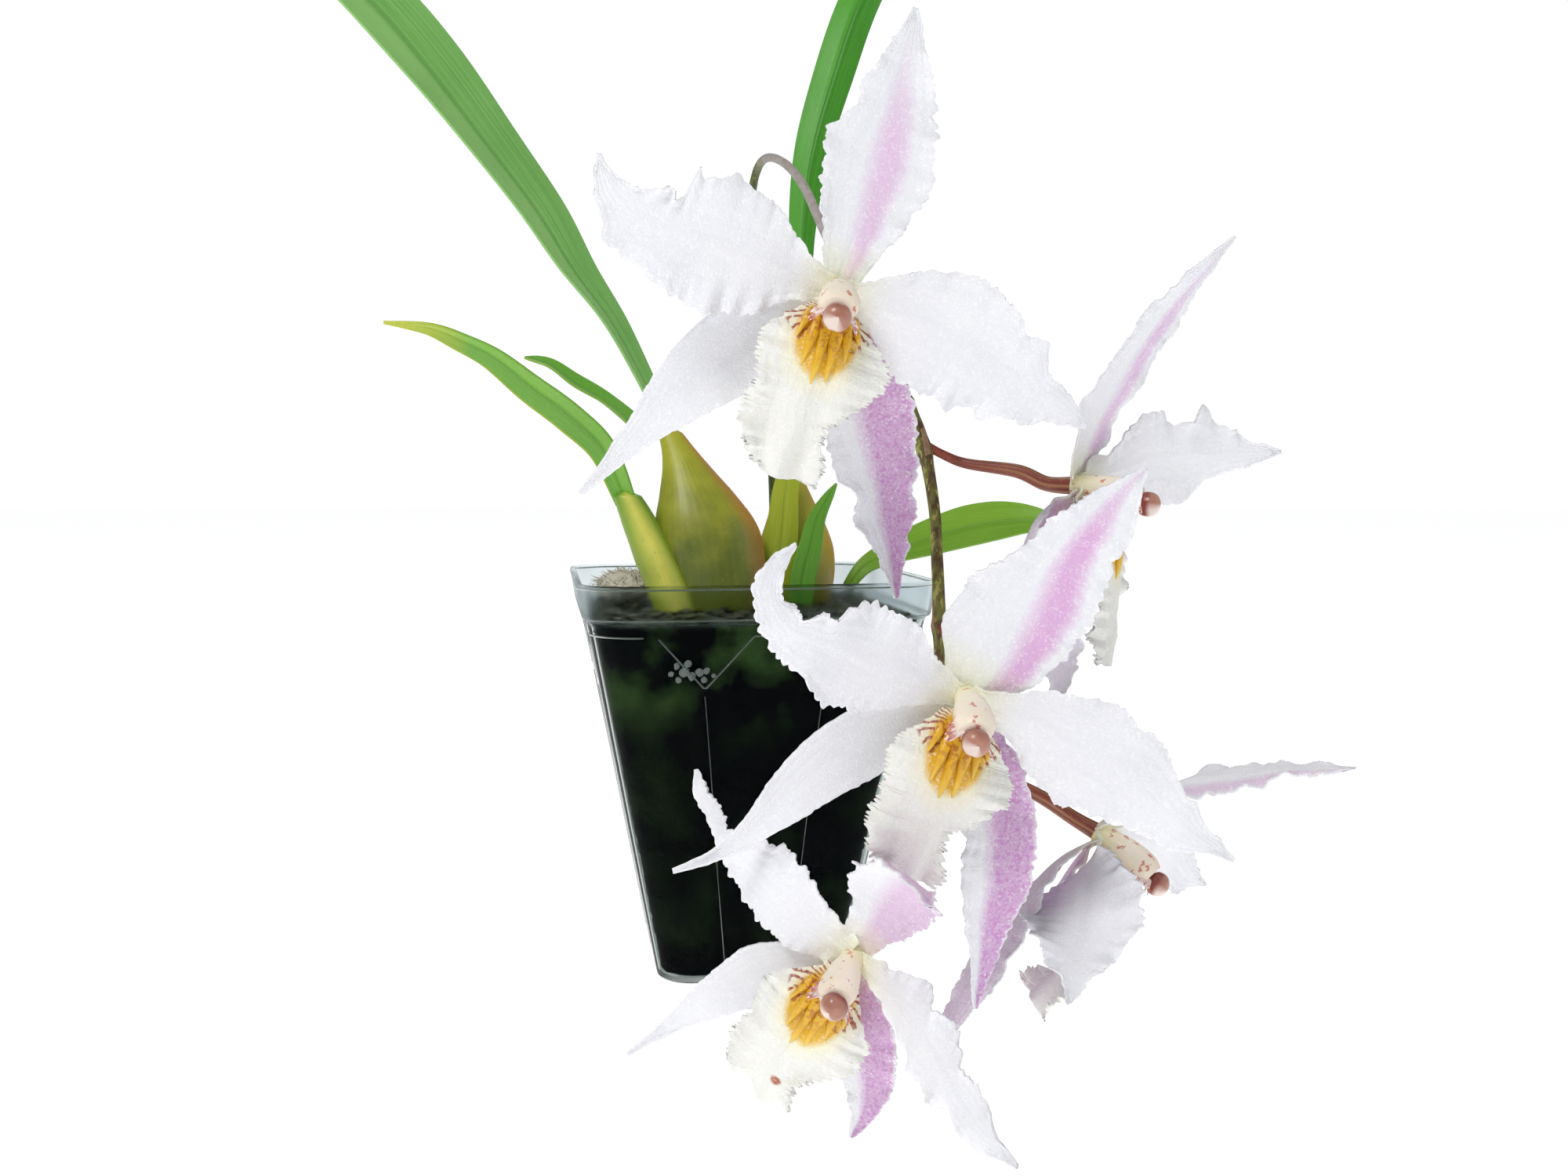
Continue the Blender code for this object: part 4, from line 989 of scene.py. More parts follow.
# A blade: clock angle, length, full width, pitch at base, third and tip, sweep at two
# thirds and at the tip, twist, cup. Then how far its margins wander, their teeth, their
# ruffle, and marks: side (1 is the blade's own right), place, spread, how far out.
BLADES = {
    "flower_top": {
        "dorsal_sepal": ((88, 55, 20, (-11, -16, -19), (-3, -11), 0, 0.10), (0.5, 0.40, 0.6), (
            (-1, 0.47, 0.06, 1.5), (-1, 0.60, 0.05, -1.6), (-1, 0.68, 0.03, 0.7),
            (1, 0.40, 0.05, 1.3), (1, 0.52, 0.04, -0.6), (1, 0.60, 0.05, 0.6))),
        "petal_left": ((178, 49, 23, (10, 6, 0), (-4, 75), 0, -0.06), (0.7, 0.40, 0.9), (
            (1, 0.44, 0.10, 1.2), (1, 0.57, 0.012, 1.7), (1, 0.63, 0.035, -2.6),
            (1, 0.78, 0.06, 0.9), (-1, 0.76, 0.02, 1.8), (-1, 0.64, 0.05, -0.9))),
        "petal_right": ((1, 51, 23, (10, 4, 0), (18, 13), 0, -0.06), (0.8, 0.45, 1.0), (
            (-1, 0.62, 0.03, -1.4), (-1, 0.70, 0.02, 1.6), (-1, 0.78, 0.04, -0.8),
            (1, 0.52, 0.03, 1.2), (1, 0.59, 0.03, -0.9), (1, 0.66, 0.03, 1.5),
            (1, 0.80, 0.04, 1.6))),
        "lateral_sepal_left": ((225, 60, 16, (-10, -9, -5), (-19, -18), 0, 0.12),
                               (0.12, 0.10, 0.15), ((1, 0.80, 0.04, 0.5),)),
        "lateral_sepal_right": ((307, 60, 17, (-10, -10, -10), (8, 11), -14, 0.12),
                                (0.5, 0.35, 0.8), (
            (1, 0.50, 0.08, 1.2), (1, 0.62, 0.04, -0.8), (1, 0.72, 0.05, 0.8),
            (-1, 0.62, 0.05, -0.7), (-1, 0.72, 0.05, 0.8))),
    },
    "flower_middle": {
        "dorsal_sepal": ((79, 51, 22, (0, 4, -6), (5, 7), 0, 0.10), (0.5, 0.30, 0.6), (
            (-1, 0.18, 0.16, 2.2), (1, 0.46, 0.08, 0.9), (1, 0.66, 0.04, -0.9),
            (1, 0.75, 0.05, 0.7))),
        "petal_left": ((179, 55, 18, (15, 19, 23), (2, 142), 0, -0.06), (0.5, 0.42, 0.8), (
            (1, 0.33, 0.14, 1.0), (1, 0.56, 0.03, -1.6), (1, 0.68, 0.03, -0.9),
            (1, 0.80, 0.03, -0.7), (-1, 0.48, 0.10, 1.5), (-1, 0.62, 0.04, 1.0),
            (-1, 0.86, 0.05, 0.7))),
        "petal_right": ((4, 56, 20, (14, 13, 9), (21, 10), 0, -0.06), (0.7, 0.40, 0.8), (
            (1, 0.45, 0.10, 0.8), (-1, 0.58, 0.05, 0.8), (-1, 0.80, 0.03, 0.8),
            (1, 0.82, 0.05, 1.4))),
        "lateral_sepal_left": ((226, 63, 14, (-8, -7, -1), (-25, 13), 0, 0.12),
                               (0.12, 0.10, 0.15), ()),
        "lateral_sepal_right": ((317, 59, 15, (-2, 10, 12), (36, 29), -14, 0.12),
                                (0.4, 0.35, 0.6), (
            (1, 0.26, 0.07, 1.4), (1, 0.45, 0.04, -0.5), (1, 0.62, 0.04, 0.7),
            (-1, 0.60, 0.06, 0.5))),
    },
    "flower_low": {
        "dorsal_sepal": ((89, 50, 17, (2, 37, 88), (10, 35), 0, 0.10), (0.6, 0.40, 0.9), ()),
        "petal_left": ((170, 48, 16, (7, -14, -34), (-7, 35), 0, -0.06), (0.7, 0.45, 0.9), (
            (1, 0.70, 0.04, -1.4), (-1, 0.80, 0.04, -1.1), (1, 0.84, 0.03, 0.8),
            (1, 0.55, 0.03, 0.9), (1, 0.42, 0.10, 1.0), (-1, 0.66, 0.04, -0.7))),
        "petal_right": ((11, 54, 17, (33, 45, 40), (-1, -19), 0, -0.06), (0.6, 0.35, 0.9), (
            (-1, 0.34, 0.03, 0.9), (1, 0.80, 0.06, 1.4), (-1, 0.84, 0.05, 1.0))),
        "lateral_sepal_left": ((227, 59, 12, (-7, 3, 15), (-19, -18), 0, 0.12),
                               (0.12, 0.10, 0.2), ((1, 0.34, 0.10, 0.8),)),
        "lateral_sepal_right": ((300, 40, 14, (0, -4, 6), (3, 40), -10, 0.12),
                                (0.4, 0.25, 0.5), ()),
    },
    "flower_right": {
        "dorsal_sepal": ((86, 57, 17, (8, 29, 38), (10, 9), -36, 0.10), (0.6, 0.30, 0.6), (
            (-1, 0.22, 0.14, 1.4), (-1, 0.62, 0.03, 0.7))),
        "petal_left": ((244, 46, 17, (0, 6, 0), (-14, -22), -90, -0.06), (0.9, 0.30, 1.6), ()),
        "petal_right": ((23, 57, 19, (24, 36, 44), (12, 11), 0, -0.06), (1.0, 0.30, 1.3), (
            (-1, 0.30, 0.06, 2.2), (-1, 0.44, 0.035, -2.6), (-1, 0.58, 0.05, 2.4),
            (1, 0.50, 0.05, 1.5), (1, 0.66, 0.04, -1.0))),
        "lateral_sepal_left": ((245, 46, 14, (-50, 0, 30), (-4, 6), -80, 0.12),
                               (0.5, 0.25, 0.8), ()),
        "lateral_sepal_right": ((310, 56, 15, (-10, -8, -6), (6, 12), 0, 0.12),
                                (0.5, 0.30, 0.7), ()),
    },
    "flower_side": {
        "dorsal_sepal": ((102, 55, 14, (25, 47, 60), (-21, -21), 24, 0.10), (0.6, 0.35, 0.8), (
            (-1, 0.42, 0.03, 0.9), (-1, 0.53, 0.03, 0.8))),
        "petal_left": ((228, 36, 25, (14, 22, 16), (-6, -4), -120, -0.06), (0.9, 0.40, 1.2), ()),
        "petal_right": ((8, 52, 19, (20, 23, 23), (20, 10), 0, -0.06), (0.7, 0.30, 1.0), (
            (1, 0.78, 0.06, 1.2),)),
        "lateral_sepal_left": ((255, 56, 14, (-30, 0, 2), (-4, 8), -80, 0.12),
                               (0.4, 0.25, 0.6), ()),
        "lateral_sepal_right": ((310, 52, 14, (-12, -12, -10), (6, 10), 0, 0.12),
                                (0.5, 0.25, 0.6), ()),
    },
}


def coarse_rows(length, pitches, sweeps, twist, steps):
    """Rows along a blade that starts at the origin and runs out along +Y."""
    base, third, tip = pitches
    bend, hook = sweeps
    pitch_steps = (base, base * 0.3 + third * 0.7, third, third * 0.75 + tip * 0.25, (third + tip)
        / 2, tip)
    sweep_steps = (0, bend / 3, bend * 2 / 3, bend, (bend + hook) / 2, hook)

    def straight(values, share):
        place = share * (len(values) - 1)
        low = min(int(place), len(values) - 2)
        return values[low] + (values[low + 1] - values[low]) * (place - low)

    place = Vector((0, 0, 0))
    rows = []
    for index in range(steps + 1):
        share = index / steps
        axes = Matrix.Rotation(math.radians(straight(pitch_steps, share)), 3, "X")
        axes = axes @ Matrix.Rotation(math.radians(-straight(sweep_steps, share)), 3, "Z")
        axes = axes @ Matrix.Rotation(math.radians(twist * share), 3, "Y")
        rows.append((place.copy(), axes))
        place = place + axes.col[1] * length / steps
    return rows


class Blade:
    """The bent midline of a petal, sepal or lip, and points on its surface."""

    def __init__(self, flower, kind, row):
        clock, length, self.width, pitches, sweeps, twist, self.cup = row
        self.length = length
        self.rows = coarse_rows(length, pitches, sweeps, twist, 11 if kind == "lip" else 9)
        self.turns = [axes.to_quaternion() for _, axes in self.rows]
        self.places = [place for place, _ in self.rows]
        self.seat = (heart_of(flower) @ Matrix.Rotation(math.radians(clock - 90), 4, "Z")
            @ Matrix.Translation((0, HUB_RADIUS, RISE[kind])))

    def point(self, share, across, lift):
        """A point at a share of the length, so far across and off the face."""
        last = len(self.rows) - 1
        place = min(max(share, 0.0), 1.0) * last
        low = min(int(place), last - 1)
        t = place - low
        before, a, b, after = (self.places[min(max(low + k, 0), last)] for k in (-1, 0, 1, 2))
        spot = 0.5 * (2 * a + (b - before) * t + (2 * before - 5 * a + 4 * b - after) * t**2
            + (3 * a - before - 3 * b + after) * t**3)
        turn = self.turns[low].slerp(self.turns[low + 1], t)
        if share < 0:
            spot = spot + turn @ Vector((0, share * self.length, 0))
        return self.seat @ (spot + turn @ Vector((across, 0, lift)))


def margin(share, side, seed, habit, marks):
    """How far a margin stands out of its plain outline: wide lobes, then small teeth."""
    lobes, teeth, _ = habit
    free = math.sin(min(max(share, 0), 1) * math.pi) ** 0.6
    spot = Vector((share * 9, seed * 7.3, side * 5.1))
    away = lobes * 2.2 * noise.noise(spot)
    jag = noise.noise(spot * 3.4)
    away += teeth * (abs(jag) * 4.2 - 1.1) + teeth * 1.1 * noise.noise(spot * 9)
    away += teeth * 0.5 * noise.noise(spot * 19)
    away *= free
    for mark_side, centre, spread, amount in marks:
        if mark_side == side:
            away += amount * math.exp(-((share - centre) / spread) ** 2)
    return away


def petal_mesh(name, blade, shape, habit, marks, seed, long=190, wide=30):
    """A ruffled sheet on a blade, its UVMap 0 to 1 across and along."""
    ruffle = habit[2]
    rows = []
    for step in range(-HIDDEN_ROWS, long + 1):
        share = step / long
        sides = []
        for side in (-1, 1):
            half = blade.width / 2 * at_share(shape, share) + margin(share, side, seed, habit, marks)
            sides.append(max(half, 0.10 if share > 0.5 else 0.9))
        row = []
        for cell in range(wide + 1):
            reach = -math.cos(cell / wide * math.pi)
            half = sides[1] if reach > 0 else sides[0]
            across = reach * half
            wave = uneven(share * 8.5, seed * 3.7, math.copysign(4, reach))
            wave += 0.5 * uneven(share * 21, seed, math.copysign(6, reach))
            lift = blade.cup * half * reach**2
            lift += ruffle * 2.6 * wave * abs(reach) ** 2.6 * min(half / 4, 1)
            groove = MIDRIB_GROOVE * math.exp(-(across / 0.9) ** 2) * (1 - max(share, 0))
            lift -= groove * math.copysign(1, blade.cup)
            lift += 0.65 * uneven(share * 4, across * 0.16, seed)
            lift += 0.22 * math.sin(share * 46 + seed * 2 + across * 0.5) * abs(reach) ** 4 * ruffle
            lift += 0.07 * math.cos(reach * 21 + uneven(share * 3, seed, 1) * 4)
            row.append(blade.point(share, across, lift))
        rows.append(row)
    return skin(name, rows)


# Crystal bumps for the relief, and painted glints: sparse white specks that stand in for the sparkle of
# light off the crystal grains.
crystal_glint_group, given, out = new_group("crystal_bumps_and_painted_glints", [("Vector", "v", None), ("Scale", "f", 2600.0),
    ("Amount", "f", 1.0)], [("Glint", "f"), ("Height", "f")])
cells = node(crystal_glint_group, "TexVoronoi", {"Vector": given["Vector"], "Scale": given["Scale"]})
drift = cloudy(crystal_glint_group, given["Vector"], 420.0, 3.0)
lit = node(crystal_glint_group, "SeparateXYZ", {"Vector": cells.outputs["Color"]}).outputs["X"]
lit = maths(crystal_glint_group, "POWER", lit, 5.0)
painted_glint = times(crystal_glint_group, lit, drift)
painted_glint = times(crystal_glint_group, painted_glint, times(crystal_glint_group, given["Amount"], 2.0), clamp=True)
crystal_glint_group.links.new(painted_glint, out["Glint"])
dome = maths(crystal_glint_group, "SUBTRACT", 1.0, cells.outputs["Distance"])
crystal_glint_group.links.new(scaled(crystal_glint_group, drift, 0.8, dome), out["Height"])


def petal_finish(name, stripe=None, ground=rgb(0.885, 0.89, 0.925), lilac=rgb(0.70, 0.38, 0.68),
        speckle=0.0):
    """White petal skin, with painted glints towards its margins. stripe: centre, slant, half width,
    softness, its end, strength.
    """
    material, tree, shader = finish(name, gloss=0.35, sheen=0.12, sheen_roughness=0.5, inner=0.12,
        inner_reach=(0.0010, 0.0009, 0.0010))
    uv, u, v = uv_of(tree)
    place = in_space(tree)
    cloud = cloudy(tree, place, 95.0, 4.0)
    body = blend(tree, cloud, rgb(0.79, 0.80, 0.86), ground)
    veins = veins_on(tree, uv, 11.0, 2.6, 3.0)
    before_tip = ramp(tree, v, 0.80, 0.45)
    veins = times(tree, veins, before_tip)
    body = blend(tree, veins, body, rgb(0.76, 0.76, 0.82), 0.10)
    if stripe:
        centre, slant, half, soft, end, strength = stripe
        warp = scaled(tree, cloud, 0.10, u)
        warp = scaled(tree, v, slant, warp)
        flush = band_at(tree, warp, centre + 0.05, half, soft)
        ending = ramp(tree, v, end, end - 0.38)
        flush = times(tree, flush, ending)
        flush = times(tree, flush, strength)
        if speckle:
            dots = flecks(tree, place, 1500.0, 0.50, 0.10)
            flush = times(tree, flush, scaled(tree, dots, speckle, 1 - speckle * 0.6))
        body = blend(tree, flush, body, lilac)
    root = ramp(tree, v, 0.16, -0.02)
    body = blend(tree, root, body, rgb(0.86, 0.86, 0.52), 0.75)
    # Painted glints: white specks painted into the colour as sparkle, stronger towards the margins.
    edge = maths(tree, "ABSOLUTE", scaled(tree, u, 2.0, -1.0))
    edge = ramp(tree, edge, 0.45, 1.0, 0.35, 1.0)
    crystal_glints_and_bumps = node(tree, "Group", {"Vector": place, "Amount": edge}, node_tree=crystal_glint_group)
    body = blend(tree, crystal_glints_and_bumps.outputs["Glint"], body, rgb(1.0, 1.0, 1.0))
    rough = scaled(tree, crystal_glints_and_bumps.outputs["Glint"], -0.35, 0.52)
    relief = scaled(tree, veins, 0.35, crystal_glints_and_bumps.outputs["Height"])
    wire_up(tree, shader, body, rough, relief, 0.30, 0.00035)
    return material


def lilac_back(name, strength):
    """The outside of a sepal: lilac down the middle, white towards its margins."""
    return petal_finish(name, (0.5, 0.0, 0.26, 0.24, 1.25, strength), speckle=0.4)


white = petal_finish("petal_white")
white_back = petal_finish("petal_white_back", (0.5, 0.0, 0.05, 0.10, 0.9, 0.25))
sepal_back = lilac_back("sepal_lilac_back", 0.95)
pale_back = lilac_back("sepal_pale_back", 0.45)
DORSAL = {
    "flower_top": petal_finish("dorsal_striped", (0.62, 0.14, 0.035, 0.11, 0.92, 0.62)),
    "flower_middle": petal_finish("dorsal_flushed", (0.78, 0.38, 0.045, 0.13, 1.08, 0.90)),
    "flower_low": petal_finish("dorsal_low", (0.72, 0.0, 0.20, 0.15, 1.2, 0.62)),
    "flower_right": petal_finish("dorsal_right", (0.80, 0.30, 0.04, 0.12, 1.0, 0.62)),
    "flower_side": petal_finish("dorsal_side", (0.26, 0.0, 0.05, 0.12, 1.1, 0.50)),
}
LATERAL_LEFT = {
    "flower_right": petal_finish("lateral_near", (0.4, 0.0, 0.35, 0.2, 1.5, 0.85), speckle=0.4),
    "flower_side": petal_finish("lateral_near_side", (0.4, 0.0, 0.40, 0.2, 1.6, 0.90), speckle=0.4),
}
flushed = petal_finish("lateral_flushed", (0.33, 0.0, 0.16, 0.15, 1.35, 1.0), speckle=0.38,
    lilac=rgb(0.60, 0.30, 0.60))

for order, (flower, parts) in enumerate(BLADES.items()):
    for number, (part, (row, habit, marks)) in enumerate(parts.items()):
        kind = part.split("_")[0]
        blade = Blade(flower, kind, row)
        shape = PETAL_SHAPE if kind == "petal" else SEPAL_SHAPE
        name = f"{flower}_{part}"
        shape = OWN_SHAPES.get(name, shape)
        mesh = petal_mesh(name + "_sheet", blade, shape, habit, marks, order * 5 + number)
        if part == "dorsal_sepal":
            behind = DORSAL[flower] if flower == "flower_side" else sepal_back
            finishes, slot = [DORSAL[flower], behind], "petal_white"
        elif part == "lateral_sepal_right":
            finishes, slot = [flushed, sepal_back], "petal_pink"
        elif part == "lateral_sepal_left":
            finishes, slot = [LATERAL_LEFT.get(flower, white), pale_back], "petal_pink"
        else:
            behind = white if name == "flower_side_petal_left" else white_back
            finishes, slot = [white, behind], "petal_white"
        sheet = add_piece(name + "_sheet", mesh, finishes)
        thicken(sheet, BLADE_THICKNESS, back=1)
        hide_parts(name)

# ---------------------------------------------------------------- Lips
# The lip is the low cream petal the insect lands on. Its margin is cut into a fine
# fringe, it crumples at its end, and an amber pad with finger-like keels sits on its
# base, streaked red at both sides.

LIPS = {
    "flower_top": (271, 36, 25, (63, 8, -21), (-1, -1), 0, -0.16),
    "flower_middle": (272, 36, 25, (63, 2, -26), (-2, -2), 0, -0.16),
    "flower_low": (266, 36, 25, (62, 3, -22), (0, -1), 0, -0.16),
    "flower_right": (268, 36, 25, (62, 4, -10), (1, 0), 0, -0.16),
    "flower_side": (267, 37, 24, (59, -5, -22), (1, 1), -46, -0.16),
}
# Reach of the lip's two sides in mm at even steps from base to end, as it is seen.
LIP_LEFT = (3.6, 5.6, 8.4, 10.6, 11.2, 10.6, 10.0, 10.6, 10.8, 9.6, 7.8, 5.2)
LIP_RIGHT = (3.6, 5.6, 8.4, 11.0, 12.2, 11.6, 9.4, 6.0, 3.8, 4.4, 5.6, 4.6)
KEELS = [  # across, where it starts and ends along the lip, height
    (-5.2, 4.5, 9.0, 0.9), (-3.6, 4.5, 12.8, 1.25), (-1.5, 4.5, 17.2, 1.6),
    (0.7, 4.5, 18.6, 1.7), (2.9, 4.5, 15.6, 1.4), (4.8, 4.5, 10.6, 1.0),
]


FRINGE_TEETH, FRINGE_DEPTH = 36, 1.15


def lip_sides(share, seed):
    """The lip's reach to its own left and right: the outline, then the fringe."""
    reach = []
    for side, outline in ((-1, LIP_RIGHT), (1, LIP_LEFT)):
        spot = Vector((share * 7, seed * 2.9, side))
        tooth = (share * FRINGE_TEETH + 1.6 * noise.noise(spot * 3)) % 1.0
        fringe = (FRINGE_DEPTH + 0.5 * noise.noise(spot * 5)) * (1 - abs(2 * tooth - 1)) ** 1.4
        fringe *= min(max((share - 0.12) * 6, 0), 1)
        reach.append(at_share(outline, share) + 0.5 * noise.noise(spot) + fringe + 0.5
            * noise.noise(spot * 4))
    return reach


def lip_mesh(name, blade, seed):
    long, wide = 230, 48
    rows, places = [], []
    for step in range(long + 1):
        share = step / long
        sides = lip_sides(share, seed)
        row = []
        for cell in range(wide + 1):
            reach = -math.cos(cell / wide * math.pi)
            half = sides[1] if reach > 0 else sides[0]
            across = reach * half
            end = 0.9 * uneven(across * 0.5, seed, 2) * max(share - 0.8, 0) * 5
            end += 0.45 * abs(((across * 0.9) % 1.0) - 0.5) * max(share - 0.9, 0) * 10
            fold = uneven(share * 6.5, seed * 1.7, math.copysign(3, reach))
            fold += 0.6 * uneven(share * 17, seed, math.copysign(5, reach))
            lift = blade.cup * half * reach**2 * (1 - 0.5 * share)
            lift += 3.2 * fold * abs(reach) ** 2.2 * min(share * 2.2, 1)
            lift += 1.1 * share**2 * math.sin(across * 0.8 + seed)
            lift += 0.12 * math.cos(reach * 26 + share * 3) * abs(reach) ** 3
            row.append(blade.point(share + end / blade.length, across, lift))
            places.append((0.5 + across / 30, share * blade.length / 30))
        rows.append(row)
    mesh = skin(name, rows)
    layer = mesh.uv_layers["UVMap"].data
    for loop in mesh.loops:
        layer[loop.index].uv = places[loop.vertex_index]
    return mesh


def lip_finish(name, spot_at=None):
    """Cream lip skin, with faint painted glints. Its UVMap is in units of 30 mm, with the base's middle
    at u 0.5.
    """
    material, tree, shader = finish(name, gloss=0.35, sheen=0.1, inner=0.25, inner_reach=(0.0014,
        0.0011, 0.0007))
    uv, u, v = uv_of(tree)
    place = in_space(tree)
    cloud = cloudy(tree, place, 120.0, 4.0)
    body = blend(tree, cloud, rgb(0.80, 0.80, 0.765), rgb(0.90, 0.90, 0.865))
    x = maths(tree, "SUBTRACT", u, 0.5)
    y = maths(tree, "SUBTRACT", v, 0.30)
    wobble = cloudy(tree, uv, 11.0, 2.0)
    swing = scaled(tree, wobble, 0.08, -0.04)
    wide = maths(tree, "POWER", maths(tree, "DIVIDE", x, 0.200), 2.0)
    deep = maths(tree, "POWER", maths(tree, "DIVIDE", y, 0.270), 2.0)
    ring = maths(tree, "ADD", maths(tree, "SQRT", maths(tree, "ADD", wide, deep)), swing)
    halo = ramp(tree, ring, 1.55, 0.85)
    body = blend(tree, halo, body, rgb(0.88, 0.80, 0.36), 0.55)
    pad = ramp(tree, ring, 1.08, 0.86)
    amber = blend(tree, cloud, rgb(0.70, 0.37, 0.006), rgb(0.86, 0.56, 0.025))
    body = blend(tree, pad, body, amber)
    low = maths(tree, "SUBTRACT", v, 0.12)
    bearing = maths(tree, "ARCTAN2", x, low)
    rays = maths(tree, "SINE", scaled(tree, bearing, 26.0, times(tree, wobble, 9.0)))
    far = maths(tree, "SQRT", maths(tree, "ADD", times(tree, x, x), times(tree, low, low)))
    shell = band_at(tree, far, 0.200, 0.085, 0.02)
    sideways = ramp(tree, maths(tree, "ABSOLUTE", bearing), 0.40, 0.70)
    broken = flecks(tree, place, 800.0, 0.66, 0.08)
    dash = times(tree, ramp(tree, rays, 0.15, 0.55), shell)
    dash = times(tree, times(tree, dash, sideways), broken)
    body = blend(tree, dash, body, rgb(0.34, 0.050, 0.010), 0.95)
    if spot_at:
        offset = node(tree, "VectorMath", {0: uv, 1: (*spot_at, 0.0)}, operation="DISTANCE")
        spot = ramp(tree, offset.outputs["Value"], 0.045, 0.025)
        body = blend(tree, spot, body, rgb(0.42, 0.10, 0.035))
    veins = veins_on(tree, uv, 16.0, 2.2, 3.0)
    body = blend(tree, veins, body, rgb(0.76, 0.75, 0.66), 0.10)
    # Painted glints: faint white specks painted into the colour as sparkle.
    crystal_glints_and_bumps = node(tree, "Group", {"Vector": place, "Amount": 0.35}, node_tree=crystal_glint_group)
    body = blend(tree, crystal_glints_and_bumps.outputs["Glint"], body, rgb(1.0, 1.0, 0.97))
    rough = scaled(tree, crystal_glints_and_bumps.outputs["Glint"], -0.25, 0.55)
    relief = scaled(tree, veins, 0.8, crystal_glints_and_bumps.outputs["Height"])
    wire_up(tree, shader, body, rough, relief, 0.30, 0.0004)
    return material


cream = lip_finish("lip_cream")
cream_spotted = lip_finish("lip_cream_spotted", (0.47, 0.93))
keel_finish, tree, shader = finish("keel_amber", gloss=0.5, coat=0.2, coat_roughness=0.3, inner=0.2,
    inner_reach=(0.002, 0.001, 0.0003))
uv, u, v = uv_of(tree)
warty = cloudy(tree, in_space(tree), 900.0, 4.0)
amber = blend(tree, warty, rgb(0.66, 0.33, 0.006), rgb(0.88, 0.58, 0.025))
pale_end = ramp(tree, v, 0.70, 1.0)
amber = blend(tree, pale_end, amber, rgb(0.86, 0.68, 0.16), 0.5)
rust = flecks(tree, in_space(tree), 900.0, 0.50, 0.05)
rust = times(tree, rust, ramp(tree, v, 0.80, 0.25))
amber = blend(tree, rust, amber, rgb(0.38, 0.07, 0.012), 0.8)
shine = ramp(tree, warty, 0.0, 1.0, 0.28, 0.5)
wire_up(tree, shader, amber, shine, warty, 0.5, 0.0004)

for seed, (flower, row) in enumerate(LIPS.items()):
    blade = Blade(flower, "lip", row)
    name = flower + "_lip"
    material = cream_spotted if flower == "flower_low" else cream
    sheet = add_piece(name + "_sheet", lip_mesh(name + "_sheet", blade, seed),
        [material])
    thicken(sheet, BLADE_THICKNESS)
    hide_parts(name)
    keels = []
    for across, start, end, height in KEELS:
        path, radii = [], []
        for step in range(19):
            share = step / 18
            along = start + (end - start) * share
            spread = across * (0.80 + 0.35 * share)
            rise = height * 0.20 * math.sin((0.15 + 0.85 * share) * math.pi) ** 0.5
            path.append(blade.point(along / blade.length, spread, 0.15 + rise))
            radii.append(0.15 + height * (1 - share**1.6) * (0.85 + 0.15 * math.sin(share * 9 + across)))
        keels.append(tube("keel", path, radii, 12))
    add_piece(flower + "_lip_keels", joined(flower + "_lip_keels", keels),
        [keel_finish])

# ---------------------------------------------------------------- Columns and anther caps
# The column is the thick cream finger over the lip. Toothed pink wings flank its end,
# and a round rosy cap closes it.

column_finish, tree, shader = finish("column_cream", gloss=0.45, coat=0.1, inner=0.2,
    inner_reach=(0.002, 0.0012, 0.0008))
uv, u, v = uv_of(tree)
place = in_space(tree)
cloud = cloudy(tree, place, 200.0, 3.0)
ivory = blend(tree, cloud, rgb(0.86, 0.76, 0.58), rgb(0.93, 0.87, 0.75))
near_base = ramp(tree, v, 0.45, 0.10)
ivory = blend(tree, near_base, ivory, rgb(0.84, 0.80, 0.44), 0.75)
rosy = ramp(tree, v, 0.55, 0.95)
ivory = blend(tree, rosy, ivory, rgb(0.90, 0.62, 0.52), 0.18)
dots = flecks(tree, place, 520.0, 0.40, 0.03)
ivory = blend(tree, dots, ivory, rgb(0.60, 0.16, 0.12), 0.8)
gloss = ramp(tree, cloud, 0.0, 1.0, 0.30, 0.5)
wire_up(tree, shader, ivory, gloss, cloud, 0.3, 0.0005)

wing_finish, tree, shader = finish("column_wing", gloss=0.4, inner=0.25, inner_reach=(0.002, 0.001,
    0.0008))
uv, u, v = uv_of(tree)
place = in_space(tree)
thin = cloudy(tree, place, 260.0, 3.0)
blush = blend(tree, thin, rgb(0.90, 0.72, 0.66), rgb(0.93, 0.86, 0.80))
dots = flecks(tree, place, 900.0, 0.54, 0.04)
far_out = ramp(tree, v, 0.2, 0.9)
dots = times(tree, dots, far_out)
blush = blend(tree, dots, blush, rgb(0.52, 0.12, 0.09), 0.9)
wire_up(tree, shader, blush, thin, thin, 0.3, 0.0004)

cap_finish, tree, shader = finish("anther_cap", gloss=0.5, coat=0.25, coat_roughness=0.2,
    inner=0.15, inner_reach=(0.002, 0.001, 0.0008))
uv, u, v = uv_of(tree)
place = in_space(tree)
cloud = cloudy(tree, place, 330.0, 4.0)
rose = blend(tree, cloud, rgb(0.22, 0.055, 0.035), rgb(0.62, 0.32, 0.23))
sash = band_at(tree, u, 0.68, 0.09, 0.12)
rose = blend(tree, sash, rose, rgb(0.90, 0.80, 0.73), 0.75)
seam = ramp(tree, v, 0.60, 0.46)
rose = blend(tree, seam, rose, rgb(0.24, 0.040, 0.025))
satin = ramp(tree, cloud, 0.0, 1.0, 0.22, 0.42)
wire_up(tree, shader, rose, satin, cloud, 0.25, 0.0004)

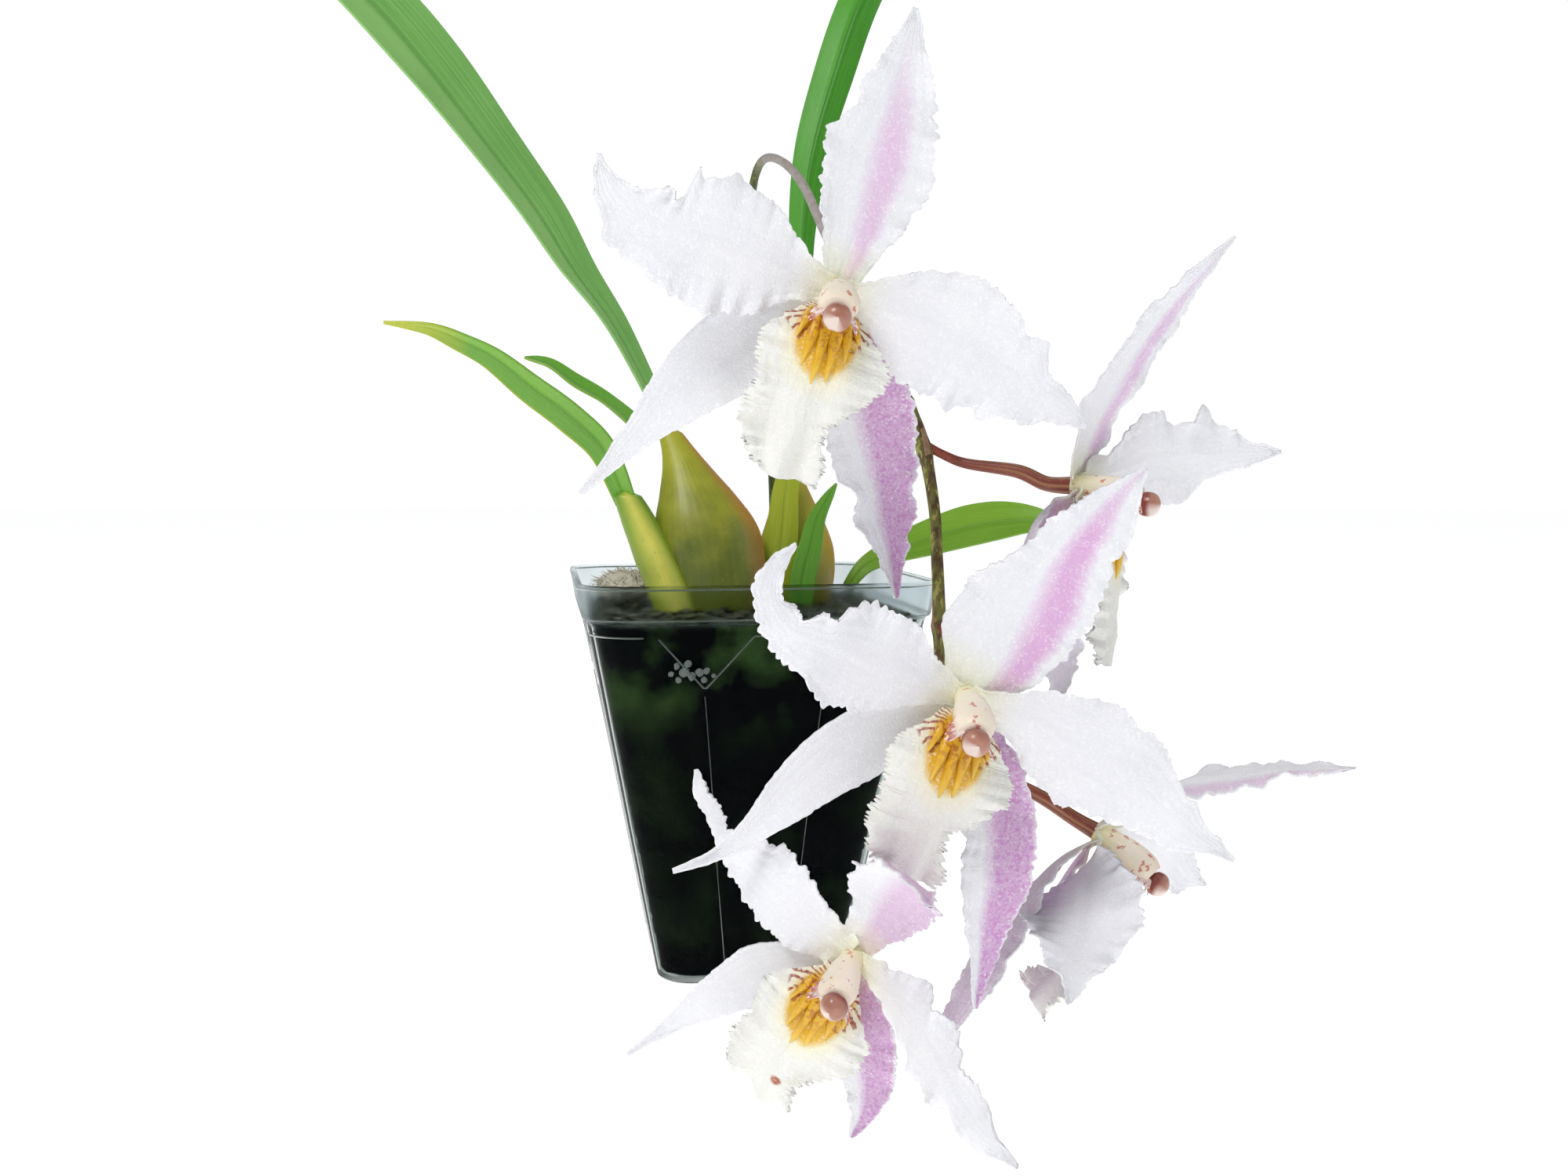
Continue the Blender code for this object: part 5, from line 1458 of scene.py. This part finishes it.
WING_THICKNESS, WING_TEETH = 0.22, 7
CAP_RADIUS, CAP_RISE, CAP_HALF_HEIGHT = 2.6, 15.2, 2.25
for seed, (flower, (_, _, cap)) in enumerate(FLOWERS.items()):
    heart = heart_of(flower)
    knots = [(cap[0] * share, cap[1] * share, height, radius) for share, height, radius
        in ((0, -0.6, 2.2), (0, 3, 2.4), (0.2, 7, 3.2), (0.50, 11, 3.5), (0.72, 13.2, 2.8))]
    path = smooth_path(knots, 40)
    body = tube(flower + "_column_body", [heart @ point.to_3d() for point in path],
        [point[3] for point in path], 28, lambda share, angle: 1 + 0.10 * share
        * math.cos(angle * 2) - 0.12 * math.exp(-((angle - 4.7) / 0.5) ** 2))
    column = add_piece(flower + "_column_body", body, [column_finish])
    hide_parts(flower + "_column")
    for side in (-1, 1):
        rows = []
        for step in range(9):
            out = step / 8
            row = []
            for cell in range(57):
                along = cell / 56
                height = 7.5 + 6.4 * along
                share = 0.2 + 0.55 * along
                tooth = abs(((along * WING_TEETH + 0.4 * uneven(along * 5, seed, side)) % 1) - 0.5)
                span = 0.6 + (2.0 + 2.6 * tooth) * math.sin(min(along + 0.08, 1) * math.pi * 0.75) ** 0.8
                x = side * (1.7 + 0.35 * along + span * out * 0.75)
                y = -0.5 - span * out * 0.80 - 0.5 * out * math.sin(along * 9 + seed)
                row.append(heart @ Vector((cap[0] * share + x, cap[1] * share + y, height + 0.9 * out)))
            rows.append(row)
        wing = add_piece(f"{flower}_column_wing_{'left' if side < 0 else 'right'}", skin("wing",
            rows), [wing_finish])
        thicken(wing, WING_THICKNESS)
    rows = []
    for ring in range(1, 30):
        polar = ring / 30 * math.pi
        row = []
        for step in range(40):
            angle = step / 40 * math.tau
            groove = 1 - 0.07 * math.exp(-(math.cos(angle) * 5) ** 2) * math.sin(polar)
            lip_of_cap = 1 + 0.06 * math.exp(-((polar - 1.1) * 5) ** 2)
            flat = CAP_RADIUS * math.sin(polar) * groove * lip_of_cap
            row.append(heart @ Vector((cap[0] + flat * math.cos(angle), cap[1] + flat
                * math.sin(angle), CAP_RISE - CAP_HALF_HEIGHT * math.cos(polar))))
        rows.append(row)
    dome = add_piece(flower + "_cap", skin(flower + "_cap", rows, True), [cap_finish])
    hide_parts(flower + "_anther_cap")
